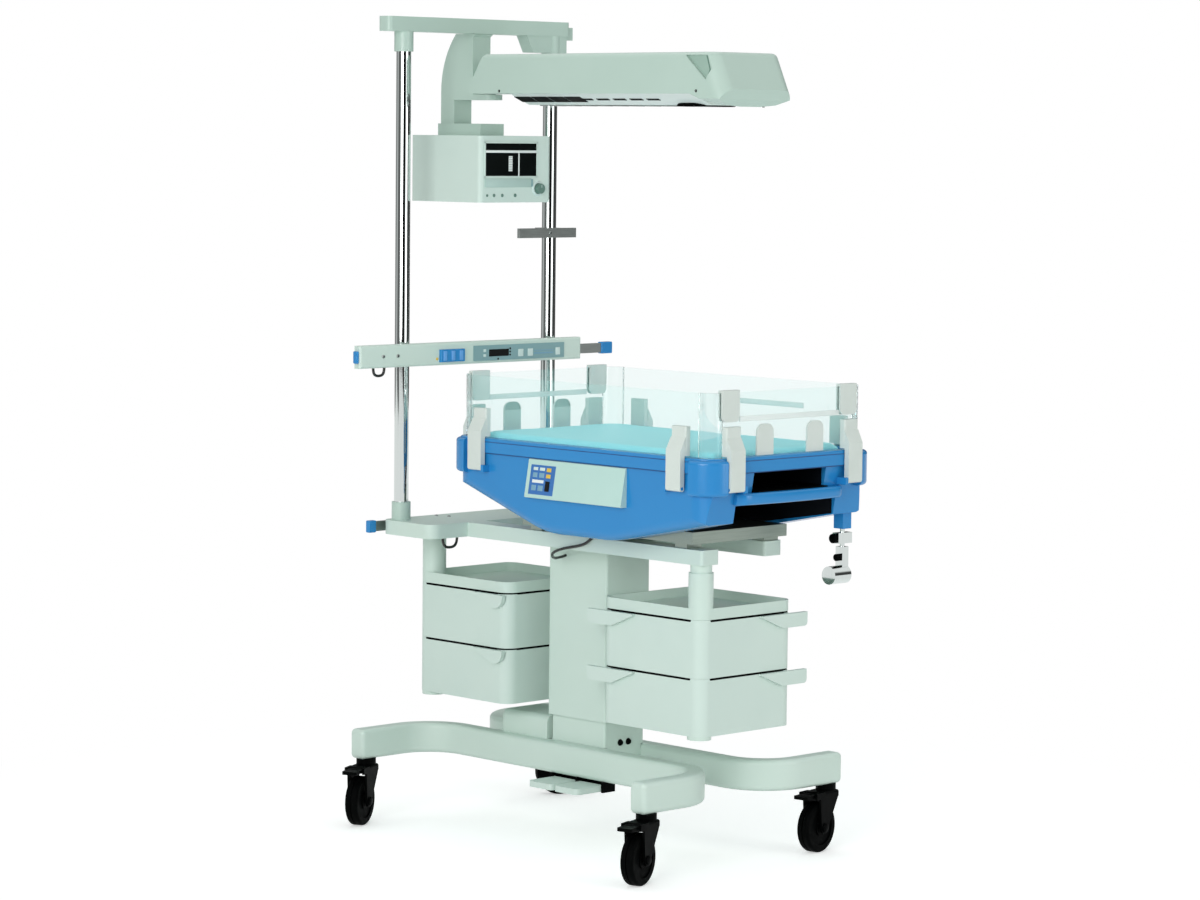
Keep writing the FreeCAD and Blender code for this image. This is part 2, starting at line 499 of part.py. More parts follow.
# drawers: open boxes with a hub on the mast and two flared pull tabs
for tag, mast, way, past, tip in units:
    axis = ("mastX", mast)
    for level, label in ((0, f"drawer_{tag}_lower"), (1, f"drawer_{tag}_upper")):
        low = f"drawerBottom + {level} * drawerStep"
        top = f"{low} + drawerHeight"
        planX, planY = unit_plan(mast, way, 0)
        shell = box(f"{label}_blank", planX, planY, (low, top))
        shell = rounded(f"{label}_round", shell, "unitRound", lambda e: upright(e) and not at_hub(e, mast))
        shell = rounded(f"{label}_corner", shell, "sleeveRadius", lambda e: upright(e) and at_hub(e, mast)
                        and e.CenterOfMass.x < size("mastX") - size("sleeveRadius") + 0.1)
        inX, inY = unit_plan(mast, way, "drawerWall")
        well = box(f"{label}_well_blank", inX, inY, (f"{low} + drawerWall", top))
        well = rounded(f"{label}_well", well, "sleeveRadius", upright)
        hub = rod(f"{label}_hub", "sleeveRadius", "Z", axis, (low, f"{top} + hubLap"))
        hole = rod(f"{label}_hole", "mastRadius + mastGap", "Z", axis, (low, f"{top} + hubLap"))
        lipTop = f"{top} - tabDrop"
        farX = "mastX + unitWide"
        front = f"{mast} - {way} * sleeveRadius"
        faceY = tuple(sorted([front, f"{front} - {way} * tabThick"], key=doc_value))
        tabX = prism(f"{label}_tab_end", "front",
                     [(f"{farX} - tabStart", lipTop), (f"{farX} + {past}", lipTop),
                      (f"{farX} + {past}", f"{lipTop} - tabDeep"),
                      (f"{farX} - unitRound - tabTip / 2", f"{lipTop} - tabDeep"),
                      (f"{farX} - tabStart", f"{lipTop} - tabShallow")], faceY)
        tabX = rounded(f"{label}_tab_end_round", tabX, tip,
                       lambda e: across(e) and e.CenterOfMass.z < doc_value(lipTop) - size("tabDeep") / 2
                       and e.CenterOfMass.x > doc_value(f"{farX} + {past}") - 1)
        farY = f"{mast} + {way} * unitLong"
        tabY = prism(f"{label}_tab_side", "side",
                     [(f"{farY} - {way} * tabStart", lipTop), (f"{farY} + {way} * {past}", lipTop),
                      (f"{farY} + {way} * {past}", f"{lipTop} - tabDeep"),
                      (f"{farY} - {way} * (unitRound + tabTip / 2)", f"{lipTop} - tabDeep"),
                      (f"{farY} - {way} * tabStart", f"{lipTop} - tabShallow")],
                     ("mastX - sleeveRadius - tabThick", "mastX - sleeveRadius"))
        tabY = rounded(f"{label}_tab_side_round", tabY, tip,
                       lambda e: lengthwise(e) and e.CenterOfMass.z < doc_value(lipTop) - size("tabDeep") / 2
                       and way * (e.CenterOfMass.y - doc_value(f"{farY} + {way} * {past}")) > -1)
        body = fuse(f"{label}_body", cut(f"{label}_shell", shell, well), hub, tabX, tabY)
        node(cut(label, body, hole), label)

# equipment rails with blue caps: behind the head plate, behind the control bar, short one on a pole
rearFront = "headBack + rearRailGap"
rear = [box("rear_rail_bar", ("-rearRailHalf", "rearRailHalf"), (rearFront, f"{rearFront} + railThick"),
            ("rearRailZ", "rearRailZ + railTall"))]
for tag, way in (("left", -1), ("right", 1)):
    spot = f"{way} * spacerX"
    rear.append(box(f"rear_spacer_{tag}", (f"{spot} - spacerLong / 2", f"{spot} + spacerLong / 2"),
                    ("headBack", rearFront), ("rearRailZ", "rearRailZ + railTall")))
rear = fuse("rear_rail", *rear)
control = [box("control_rail_bar", ("railLeftEnd", "railRightEnd"), ("caseBack", "caseBack + railThick"),
               ("controlRailZ", "controlRailZ + railTall"))]
shortZ = ("shortBottom", "shortBottom + railTall")
shortY = "poleY - poleRadius - clampOver"
block = box("short_block", ("poleX - clampHalf", "poleX + clampHalf"), (shortY, "poleY + clampHalf"), shortZ)
short = [box("short_rail_bar", ("shortLeft", "shortRight"), (f"{shortY} - railThick", shortY), shortZ), block]
holders = []
for tag, way in (("left", -1), ("right", 1)):
    spot = f"{way} * poleX"
    control.append(box(f"control_block_{tag}", (f"{spot} - clampHalf", f"{spot} + clampHalf"),
                       ("caseBack", "poleY + clampHalf"), ("controlRailZ", "controlRailZ + railTall")))
    holders.append(rod(f"control_grip_{tag}", "poleRadius + shaftGap", "Z", (spot, "poleY"),
                       ("controlRailZ", "controlRailZ + railTall")))
control = cut("control_rail", fuse("control_rail_blank", *control), *holders)
short = cut("short_rail", fuse("short_rail_blank", *short),
            rod("short_grip", "poleRadius + shaftGap", "Z", ("poleX", "poleY"), shortZ))
node(group("equipment_rails", rear, control, short), "equipment_rails")
caps = []
for tag, spot, run, y, z in (
        ("rear_left", "-rearRailHalf - capLong", "capLong", rearFront, "rearRailZ"),
        ("rear_right", "rearRailHalf", "capLong", rearFront, "rearRailZ"),
        ("control_left", "caseLeft - endCap", "endCap", "caseFront + 2 * capOver",
         "(caseBottom + caseTop - railTall) / 2"),
        ("control_right", "railRightEnd", "controlRailCapLong", "caseBack", "controlRailZ")):
    cap = box(f"cap_{tag}_blank", (spot, f"{spot} + {run}"), (f"{y} - capOver", f"{y} + railThick + capOver"),
              (f"{z} - capOver", f"{z} + railTall + capOver"))
    caps.append(rounded(f"cap_{tag}", cap, "capOver", lambda e: True))
node(group("rail_caps", *caps), "rail_caps")

# poles, their sockets and collars, and the top bar
barBottom = "(barTop - barTall)"
poles = []
fittings = []
for tag, way in (("left", -1), ("right", 1)):
    axis = (f"{way} * poleX", "poleY")
    poles.append(rod(f"pole_{tag}", "poleRadius", "Z", axis, (platformTop, barBottom)))
    for kind, radius, reach in (("socket", "collarRadius", (platformTop, "socketTop")),
                                ("collar", "collarRadius", (f"{barBottom} - collarLong", barBottom))):
        tube = rod(f"{kind}_{tag}_blank", radius, "Z", axis, reach)
        if kind == "collar" and way > 0:
            low = f"{barBottom} - bossLong"
            boss = prism("boss", "front",
                         [("poleX - bossLeft", barBottom), ("poleX - bossLeft + bossTaper", low),
                          ("poleX + bossRight", low), ("poleX + bossRight", barBottom)],
                         ("poleY - bossHalf", "poleY + bossHalf"))
            tube = fuse("collar_boss", tube, boss)
        bore = rod(f"{kind}_{tag}_bore", "poleRadius + shaftGap", "Z", axis, reach)
        fittings.append(cut(f"{kind}_{tag}", tube, bore))
node(group("poles", *poles), "poles")
bar = box("bar_blank", ("barLeft", "barRight"), ("poleY - barHalfWide", "poleY + barHalfWide"),
          (barBottom, "barTop"))
bar = rounded("bar", bar, "legRound", upright)
tab = box("bar_tab", ("barRight - barTabHalf", "barRight + barTabOut"),
          ("poleY - barTabHalf", "poleY + barTabHalf"),
          (f"{barBottom} - barTabLow", "barTop - barTabTop"))
node(group("top_bar", fuse("bar_with_tab", bar, tab), *fittings), "top_bar")

# sickle arm from the bar down to the monitor, with the heater's pivot shelf
armSide = ("-armHalf", "armHalf")
curveY = "armY - armCurve"
sweep = rod("arm_curve", "armCurve + armThick / 2", "X", (curveY, "armCurveZ"), armSide)
sweep.Placement = FreeCAD.Placement(sweep.Placement.Base, sideView)
sweep.setExpression("Angle", bound("armTurn"))
inside = rod("arm_inside", "armCurve - armThick / 2", "X", (curveY, "armCurveZ"), armSide)
arch = cut("arm_arch", sweep, inside)
stem = box("arm_stem", armSide, ("armY - armThick / 2", "armY + armThick / 2"), ("monitorTop", "armCurveZ"))
foot = box("arm_foot", ("-armFootHalf", "armFootHalf"), ("armFootFront", "armY + armThick / 2"),
           ("monitorTop", "monitorTop + armFootThick"))
shelfTop = "heaterBottom - shelfGap"
shelf = box("arm_shelf", armSide, ("shelfFront", "armY"), (f"{shelfTop} - shelfThick", shelfTop))
shelf = rounded("arm_shelf_round", shelf, "heaterHub",
                lambda e: upright(e) and e.CenterOfMass.y < size("shelfFront") + 1)
pin = rod("heater_pin", "heaterPin", "Z", ("0", "heaterPinY"), (shelfTop, "heaterHubTop"))
blade = box("arm_web", armSide, ("armWebFront", "armY - armThick / 2"), (shelfTop, "armWebTop"))
above = box("arm_trim", ("-armHalf - 1", "armHalf + 1"), ("poleY - armCurve", "poleY + armCurve"),
            (barBottom, "barTop + armCurve"))
node(cut("heater_arm", fuse("arm_body", arch, stem, foot, shelf, blade, pin), above), "heater_arm")

# monitor, display windows, turn knob
monitor = box("monitor_blank", ("-monitorHalf", "monitorHalf"), ("monitorFront", "monitorBack"),
              ("monitorBottom", "monitorTop"))
monitor = rounded("monitor_round", monitor, "monitorRound", lambda e: upright(e))
knobAxis = ("knobX", "knobZ")
shaft = rod("knob_shaft", "knobPin", "Y", knobAxis, ("monitorFront - knobPinLong", "monitorFront + 1"))
node(fuse("monitor_case", monitor, shaft), "monitor_case")
windows = []
for tag, low, high in (("strip", "stripBottom", "stripTop"), ("screen", "screenBottom", "screenTop")):
    windows.append(box(f"window_{tag}", ("windowLeft", "windowRight"),
                       ("monitorFront - windowThick", "monitorFront"), (low, high)))
panelFront = "caseFront - panelThick"
windows.append(box("window_readout", ("readoutLeft", "readoutRight"),
                   (f"{panelFront} - readoutThick", panelFront), ("readoutBottom", "readoutTop")))
node(group("display_windows", *windows), "display_windows")
knob = rod("knob_blank", "knobRadius", "Y", knobAxis,
           ("monitorFront - knobLong", "monitorFront - buttonGap"))
knobHole = rod("knob_hole", "knobPin + shaftGap", "Y", knobAxis,
               ("monitorFront - knobPinLong - buttonGap", "monitorFront"))
knob = rounded("knob_round", knob, "knobRound",
               lambda e: abs(e.CenterOfMass.y - doc_value("monitorFront - knobLong")) < 0.1)
node(cut("monitor_knob", knob, knobHole), "monitor_knob")

# control bar in front of the poles, its membrane panel and its push button
case = box("case_blank", ("caseLeft", "caseRight"), ("caseFront", "caseBack"), ("caseBottom", "caseTop"))
case = rounded("case", case, "caseRound", lambda e: abs(e.CenterOfMass.y - size("caseFront")) < 0.1)
pocket = box("button_pocket", ("buttonLeft - buttonGap", "buttonRight + buttonGap"),
             ("caseFront", "caseFront + buttonDeep + buttonTravel"),
             ("buttonBottom - buttonGap", "buttonTop + buttonGap"))
node(cut("control_bar", case, pocket), "control_bar")
membrane = box("membrane", ("panelLeft", "panelRight"), (panelFront, "caseFront"),
               ("panelBottom", "panelTop"))
band = box("band", ("windowLeft", "bandRight"), ("monitorFront - windowThick", "monitorFront"),
           ("bandBottom", "bandTop"))
node(group("control_panel", membrane, band), "control_panel")
button = box("button_blank", ("buttonLeft", "buttonRight"),
             ("caseFront - buttonProud", "caseFront + buttonDeep"), ("buttonBottom", "buttonTop"))
button = rounded("button", button, "buttonRound",
                 lambda e: abs(e.CenterOfMass.y - doc_value("caseFront - buttonProud")) < 0.1)
node(button, "push_button")

# bed carrier: steel plate on packers, two lugs and the tilt pin
plate = [box("carrier_plate", ("-carrierHalf", "carrierHalf"), ("carrierFront", "carrierBack"),
             ("carrierBottom", "carrierTop"))]
for tag, start in (("foot", "carrierFront + packerInset"),
                   ("head", "carrierBack - packerInset - packerLong")):
    for side, way in (("left", -1), ("right", 1)):
        span = tuple(sorted([f"{way} * (railInner + packerEdge)", f"{way} * (carrierHalf - packerEdge)"],
                            key=doc_value))
        plate.append(box(f"packer_{tag}_{side}", span, (start, f"{start} + packerLong"),
                         (platformTop, "carrierBottom")))
for side, way in (("left", -1), ("right", 1)):
    span = tuple(sorted([f"{way} * lugInner", f"{way} * (lugInner + lugThick)"], key=doc_value))
    plate.append(box(f"lug_{side}", span, ("pivotY - lugHalf", "pivotY + lugHalf"),
                     ("carrierTop", "pivotZ + lugOver")))
pinEnd = "channelHalf + pinInto"
plate.append(rod("tilt_pin", "pivotPin", "X", ("pivotY", "pivotZ"), (f"-({pinEnd})", pinEnd)))
node(fuse("bed_carrier", *plate), "bed_carrier")

# tub: boat-shaped hull with a rim, mattress well, tray slot and the carrier's channel
tubFoot = "bedY - tubHalfY"
tubHead = "bedY + tubHalfY"
hullX = ("-(tubHalfX - hullInset)", "tubHalfX - hullInset")
hullFoot = f"{tubFoot} + hullInset"
hullHead = f"{tubHead} - hullInset"
hullTop = "rimTop - rimTall / 2"
keel = prism("keel_blank", "side",
             [(hullHead, hullTop), (f"{hullHead} - headDraft", "tubHeadZ"), ("tubLowHead", "tubLowZ"),
              ("tubLowFoot", "tubLowZ"), (f"{hullFoot} + footDraft", "tubFootZ"), (hullFoot, hullTop)], hullX)
keel = rounded("keel", keel, "keelRound",
               lambda e: abs(e.BoundBox.ZMax - size("tubLowZ")) < 0.1 and e.BoundBox.XLength > 10
               and e.BoundBox.YLength < 0.1)
keel = rounded("keel_soft", keel, "tubEdge",
               lambda e: e.BoundBox.XLength < 0.1 and e.BoundBox.YLength > 10
               and e.BoundBox.ZMax < size("tubHeadZ") + 0.1)
plan = box("tub_plan_blank", hullX, (hullFoot, hullHead), ("tubLowZ - 1", hullTop))
plan = rounded("tub_plan", plan, "tubRound", upright)
hull = common("hull", keel, plan)
rim = box("rim_blank", ("-tubHalfX", "tubHalfX"), (tubFoot, tubHead), ("rimTop - rimTall", "rimTop"))
rim = rounded("rim", rim, "tubRound", upright)
rim = rounded("rim_soft", rim, "rimSoft", lambda e: not upright(e))
well = box("well_blank", ("-(tubHalfX - rimWide)", "tubHalfX - rimWide"),
           (f"{tubFoot} + rimWide", f"{tubHead} - rimWide"), ("floorTop", "rimTop"))
well = rounded("well", well, "innerRound", upright)
slot = box("tray_slot", ("-slotHalf", "slotHalf"), (f"{tubFoot} - 1", "slotHead"), ("slotBottom", "slotTop"))
channel = box("channel", ("-channelHalf", "channelHalf"), (f"{tubFoot} - 1", f"{tubHead} + 1"),
              ("tubLowZ - 1", "channelTop"))
pivotBore = rod("pivot_bore", "pivotPin + shaftGap", "X", ("pivotY", "pivotZ"),
                (f"-({pinEnd} + pinEndGap)", f"{pinEnd} + pinEndGap"))

# folding walls in a frame about the bed centre, outward along -Y
sideReach = "(tubHalfX - sideInset)"
endReach = "(tubHalfY - endInset)"
sideArm = "(tubHalfY - sideArmInset)"
endArm = "(tubHalfX - endArmInset)"
walls = (("foot", 0, endReach, "tubHalfY", endArm, sideReach),
         ("right", 90, sideReach, "tubHalfX", sideArm, endReach),
         ("head", 180, endReach, "tubHalfY", endArm, sideReach),
         ("left", 270, sideReach, "tubHalfX", sideArm, endReach))
lugs = []
for tag, angle, reach, face, arm, other in walls:
    half = f"({other} - cornerRadius - wallGap)"
    inside = f"-({reach} - wallThick)"
    pane = box(f"pane_{tag}", (f"-{half}", half), (f"-{reach}", inside), ("wallBottom", "wallTop"))
    inner = f"({arm} - latchWide / 2 - wallGap)"
    strip = box(f"strip_{tag}", (f"-{inner}", inner), (f"-({reach} + stripThick)", f"-{reach}"),
                ("stripLow", "stripHigh"))
    node(put(group(f"wall_{tag}", fuse(f"wall_body_{tag}", pane, strip)), "0", "bedY", "0", turned(angle)),
         f"wall_{tag}")
    lowNear = f"-({face} + armLowGap)"
    lowFar = f"-({face} + armLowGap + armLow)"
    hingeY = f"-({face} + armLowGap + armLow / 2)"
    pieces = []
    for side, way in (("a", -1), ("b", 1)):
        spot = f"{way} * {arm}"
        wide = (f"{spot} - armWide / 2", f"{spot} + armWide / 2")
        upper = box(f"arm_upper_{tag}_{side}", wide, (f"-({reach} + armUpper)", f"-{reach}"),
                    ("armLowTop - armStep", "armHigh"))
        outward = -doc_value(f"{reach} + armUpper")
        parts = [rounded(f"arm_upper_round_{tag}_{side}", upper, "armRound",
                         lambda e: upright(e) and e.CenterOfMass.y < outward + 0.1)]
        parts.append(box(f"arm_step_{tag}_{side}", wide, (lowFar, f"-{reach}"),
                         ("armLowTop - armStep", "armLowTop")))
        parts.append(box(f"arm_lower_{tag}_{side}", wide, (lowFar, lowNear), ("hingeZ", "armLowTop")))
        parts.append(prism(f"arm_fair_{tag}_{side}", "side",
                           [(f"-({reach} + armUpper)", "armLowTop"), (lowFar, "armLowTop"),
                            (f"-({reach} + armUpper)", "armLowTop + armFair")], wide))
        parts.append(rod(f"arm_eye_{tag}_{side}", "armLow / 2", "X", (hingeY, "hingeZ"), wide))
        hole = rod(f"arm_hole_{tag}_{side}", "hingePin + shaftGap", "X", (hingeY, "hingeZ"), wide)
        pieces.append(cut(f"arm_{tag}_{side}", fuse(f"arm_blank_{tag}_{side}", *parts), hole))
        if arm == endArm:
            hook = (f"{spot} - latchWide / 2", f"{spot} + latchWide / 2")
            latch = box(f"latch_blank_{tag}_{side}", hook,
                        (f"-({reach} + latchThick)", f"{inside} + latchThick"),
                        ("latchLow", "wallTop + latchOver"))
            latch = rounded(f"latch_round_{tag}_{side}", latch, "latchRound",
                            lambda e: across(e) and e.CenterOfMass.z < size("latchLow") + 1)
            groove = box(f"latch_slot_{tag}_{side}", hook, (f"-{reach}", inside), ("latchLow", "wallTop"))
            pieces.append(cut(f"latch_{tag}_{side}", latch, groove))
            grip = f"{way} * endClip"
            tongue = box(f"clip_blank_{tag}_{side}", (f"{grip} - clipWide / 2", f"{grip} + clipWide / 2"),
                         (f"-({reach} + clipThick)", f"-{reach}"), ("wallBottom", "clipHigh"))
            pieces.append(rounded(f"clip_{tag}_{side}", tongue, "clipRound",
                                  lambda e: across(e) and e.CenterOfMass.z > size("wallBottom") + 1))
        near = f"{spot} - {way} * (armWide / 2 + hingeLugGap)"
        lugX = tuple(sorted([near, f"{near} - {way} * hingeLug"], key=doc_value))
        pinX = tuple(sorted([near, f"{spot} + {way} * armWide / 2"], key=doc_value))
        lug = box(f"hinge_lug_{tag}_{side}", lugX, (lowFar, f"-({face} - footDraft)"),
                  ("armLowEnd", "hingeZ + armLow / 2"))
        pinRod = rod(f"hinge_pin_{tag}_{side}", "hingePin", "X", (hingeY, "hingeZ"), pinX)
        lugs.append(put(group(f"hinge_{tag}_{side}", fuse(f"hinge_body_{tag}_{side}", lug, pinRod)),
                        "0", "bedY", "0", turned(angle)))
    node(put(group(f"wall_frame_{tag}", *pieces), "0", "bedY", "0", turned(angle)), f"wall_frame_{tag}")
clampX = "(tubHalfX - clampInsetX)"
clampY = f"({tubFoot} + clampInsetY)"
holderSocket = rod("holder_socket", "clampStem + shaftGap", "Z", (clampX, clampY),
                   ("holderBottom", "holderBottom + holderSocket"))
holder = box("holder_blank", (f"{clampX} - holderHalf", f"{clampX} + holderHalf"),
             (f"{clampY} - holderHalf", f"{clampY} + holderHalf"), ("holderBottom", "channelTop"))
tub = cut("tub_shell", fuse("tub_blank", hull, rim), well, slot, channel, pivotBore)
node(fuse("tub", tub, *lugs), "tub")

# corner bumpers that wrap the tub's corners, with the clamp's socket block under the hull
bumpers = []
tubes = []
corners = (("foot_left", -1, -1, 180), ("foot_right", 1, -1, 270),
           ("head_right", 1, 1, 0), ("head_left", -1, 1, 90))
for tag, wayX, wayY, start in corners:
    axis = (f"{wayX} * (tubHalfX - tubRound)", f"bedY + {wayY} * (tubHalfY - tubRound)")
    reach = ("bumperBottom", "bumperTop")
    bumper = rod(f"bumper_outer_{tag}", "tubRound + bumperOver", "Z", axis, reach, 90, start)
    bumper = rounded(f"bumper_round_{tag}", bumper, "bumperRound",
                     lambda e: not upright(e) and e.BoundBox.XLength > 1 and e.BoundBox.YLength > 1)
    roomHalf = f"({endArm} + armWide / 2 + wallGap)"
    armRoom = box(f"bumper_room_{tag}", (f"-{roomHalf}", roomHalf),
                  (f"{tubFoot} - armLow - tubRound", f"{tubHead} + armLow + tubRound"), reach)
    bumpers.append(cut(f"bumper_{tag}", bumper, hull, rim, armRoom))
    spot = (f"{wayX} * ({sideReach} - cornerRadius)", f"bedY + {wayY} * ({endReach} - cornerRadius)")
    tubeZ = ("rimTop", "wallTop")
    outer = rod(f"corner_outer_{tag}", "cornerRadius", "Z", spot, tubeZ, 90, start)
    tubes.append(cut(f"corner_tube_{tag}", outer,
                     rod(f"corner_inner_{tag}", "cornerRadius - cornerWall", "Z", spot, tubeZ)))
bumpers.append(cut("clamp_holder", holder, hull, holderSocket))
node(group("corner_bumpers", *bumpers), "corner_bumpers")
node(group("corner_tubes", *tubes), "corner_tubes")

# side panel, mattress, tray
hullLeft = "-tubHalfX + hullInset"
sideTop = "rimTop - rimTall - sideGap"
wedge = prism("side_wedge", "front",
              [(hullLeft, sideTop), (f"{hullLeft} - sideThin", sideTop),
               (f"{hullLeft} - sideThick", "sideBottom"), (hullLeft, "sideBottom")],
              ("sideFront", "sideBack"))
node(rounded("side_panel", wedge, "sideRound",
             lambda e: e.CenterOfMass.x < doc_value(f"{hullLeft} - sideThin") + 0.1
             and e.BoundBox.YLength > 10), "side_panel")


def pad_section(height, inset):
    halfX = doc_value("tubHalfX - rimWide - padGap") - inset
    halfY = doc_value("tubHalfY - rimWide - padGap") - inset
    bend = max(size("innerRound") - inset, 4)
    points = []
    for wayX, wayY, start in ((1, -1, -90), (1, 1, 0), (-1, 1, 90), (-1, -1, 180)):
        cx = wayX * (halfX - bend)
        cy = size("bedY") + wayY * (halfY - bend)
        points.append([FreeCAD.Vector(cx + bend * math.cos(math.radians(start + turn)),
                                      cy + bend * math.sin(math.radians(start + turn)), height)
                       for turn in (0, 45, 90)])
    edges = []
    for n, arc in enumerate(points):
        edges.append(Part.Arc(*arc).toShape())
        edges.append(Part.LineSegment(arc[2], points[(n + 1) % 4][0]).toShape())
    return Part.Wire(edges)


padFloor = size("floorTop") + size("padSeat")
padRise = size("padThick") - size("padCrown")
sections = [(0, size("padDraw")), (padRise * 0.5, 0), (padRise, size("padDraw"))]
loft = Part.makeLoft([pad_section(padFloor + rise, inset) for rise, inset in sections], True, True)
crown = Part.makeLoft([pad_section(padFloor + padRise, size("padDraw")),
                       pad_section(padFloor + padRise + size("padCrown") * 0.7, size("padDraw") + 60),
                       pad_section(padFloor + padRise + size("padCrown"), size("padDraw") + 150)], True, True)
mattress = doc.addObject("Part::Feature", "mattress")
mattress.Shape = loft.fuse(crown).removeSplitter()
mattress.Placement = FreeCAD.Placement()
node(mattress, "mattress")
trayFloor = "slotBottom + trayGap"
gripFar = f"{tubFoot} - gripPast"
gripNear = f"{gripFar} + gripDeep"
trayPlate = box("tray_plate", ("-trayPlateHalf", "trayPlateHalf"),
                (gripFar, "slotHead - trayEndGap"), (trayFloor, f"{trayFloor} + trayPlateThick"))
grip = box("grip_blank", ("-(tubHalfX - gripInset)", "tubHalfX - gripInset"), (gripFar, gripNear),
           ("gripBottom", "gripTop"))
grip = rounded("grip", grip, "gripRound", lambda e: True)
node(fuse("xray_tray", trayPlate, grip), "xray_tray")

# radiant heater: housing, reflector, twin element, slotted grille
heaterX = ("-heaterHalf", "heaterHalf")
shell = prism("heater_blank", "side",
              [("heaterBack", "heaterBottom"), ("heaterBackTop", "heaterTop"),
               ("heaterFront + noseRake", "heaterTop"), ("heaterFront", "heaterBottom + noseLip"),
               ("heaterFront + chinDrop / 2", "heaterBottom - chinDrop / 2"),
               ("heaterFront + chinLong", "heaterBottom - chinDrop"),
               ("heaterFront + chinBack", "heaterBottom")], heaterX)
chinLow = "heaterBottom - chinDrop"
rakedLow = "heaterFront - noseRake * (noseLip + chinDrop) / (heaterTop - heaterBottom - noseLip)"
outline = prism("heater_plan_blank", "side",
                [("heaterBack", chinLow), ("heaterBack", "heaterTop"),
                 ("heaterFront + noseRake", "heaterTop"), (rakedLow, chinLow)], heaterX)
outline = rounded("heater_plan", outline, "noseRound",
                  lambda e: e.BoundBox.XLength < 0.1 and e.BoundBox.ZLength > size("chinDrop")
                  and e.CenterOfMass.y < size("heaterFront") + size("noseRake"))
belly = prism("heater_belly", "front",
              [("-heaterHalf", "heaterTop"), ("-heaterHalf", f"{chinLow} + bellyHigh"),
               ("-bellyMid", f"{chinLow} + bellyRise"), ("-bellyFlat", chinLow), ("bellyFlat", chinLow),
               ("bellyMid", f"{chinLow} + bellyRise"), ("heaterHalf", f"{chinLow} + bellyHigh"),
               ("heaterHalf", "heaterTop")], (rakedLow, "heaterBack"))
shell = common("heater_nose", common("heater_chin", shell, belly), outline)
shell = rounded("heater_round", shell, "heaterRound",
                lambda e: flat_at(e, size("heaterTop")) and e.BoundBox.XLength < 0.1
                and e.BoundBox.YLength > 10)
hub = rod("heater_hub", "heaterHub", "Z", ("0", "heaterPinY"), ("heaterBottom", "heaterHubTop"))
web = box("heater_web", ("-heaterWeb", "heaterWeb"), ("heaterBackTop + webStep", "heaterPinY"),
          ("heaterBottom", "heaterHubTop - webStep"))
hubHole = rod("heater_hub_hole", "heaterPin + shaftGap", "Z", ("0", "heaterPinY"),
              ("heaterBottom", "heaterHubTop"))
cavityX = ("-heaterHalf + heaterWall", "heaterHalf - heaterWall")
cavityY = ("cavityFront", "heaterBackTop - heaterWall")
cavity = box("heater_cavity", cavityX, cavityY, ("heaterBottom", "heaterTop - heaterRoof"))
vees = []
vee = [("veeFront", "veeTopZ"), ("veeApexY", "veeApexZ"), ("veeBack", "veeTopZ")]
for tag, span in (("left", ("-heaterHalf", "-heaterHalf + veeDeep")),
                  ("right", ("heaterHalf - veeDeep", "heaterHalf"))):
    vees.append(prism(f"vee_{tag}", "side", vee, span))
heaterBody = fuse("heater_body", shell, hub, web)
node(cut("heater_housing", heaterBody, cavity, hubHole, *vees), "heater_housing")
holdX = (f"{cavityX[0]} + reflectorGap", f"{cavityX[1]} - reflectorGap")
holdY = (f"{cavityY[0]} + reflectorGap", f"{cavityY[1]} - reflectorGap")
roof = "heaterTop - heaterRoof"
trough = box("trough_blank", holdX, holdY, ("reflectorBottom", roof))
innerX = (f"{holdX[0]} + reflectorThick", f"{holdX[1]} - reflectorThick")
innerY = (f"{holdY[0]} + reflectorThick", f"{holdY[1]} - reflectorThick")
inset = box("trough_inset", innerX, innerY, ("reflectorBottom", f"{roof} - reflectorThick"))
node(cut("heater_reflector", trough, inset), "heater_reflector")
elements = []
for tag, way in (("left", -1), ("right", 1)):
    elements.append(rod(f"element_{tag}", "elementRadius", "Y", (f"{way} * elementX", "elementZ"), innerY))
node(group("heater_element", *elements), "heater_element")
panStart = "heaterFront + chinBack + grilleGap"
panLow = "heaterBottom - grilleDrop"
sheetTop = "heaterBottom + grilleThick"
pan = prism("grille_pan", "front",
            [(cavityX[0], "heaterBottom"), ("-grilleHalf", panLow), ("grilleHalf", panLow),
             (cavityX[1], "heaterBottom"), (cavityX[1], sheetTop), ("grilleHalf", f"{panLow} + grilleThick"),
             ("-grilleHalf", f"{panLow} + grilleThick"), (cavityX[0], sheetTop)], (panStart, "grilleBack"))
panEnds = []
for tag, start in (("front", panStart), ("back", "grilleBack - grilleThick")):
    panEnds.append(prism(f"grille_end_{tag}", "front",
                         [(cavityX[0], "heaterBottom"), ("-grilleHalf", panLow), ("grilleHalf", panLow),
                          (cavityX[1], "heaterBottom")], (start, f"{start} + grilleThick")))
grille = fuse("grille_blank", pan, *panEnds)
run = doc_value(f"grilleBack - ({panStart})")
count = int(run / size("slotPitch")) - 1
gaps = []
for n in range(count):
    start = f"{panStart} + {n + 1} * slotPitch"
    gaps.append(box(f"grille_gap_{n + 1}", ("-grilleHalf + slotEdge", "grilleHalf - slotEdge"),
                    (start, f"{start} + slotWide"), (panLow, f"{panLow} + grilleThick")))
node(cut("heater_grille", grille, group("grille_gaps", *gaps)), "heater_grille")

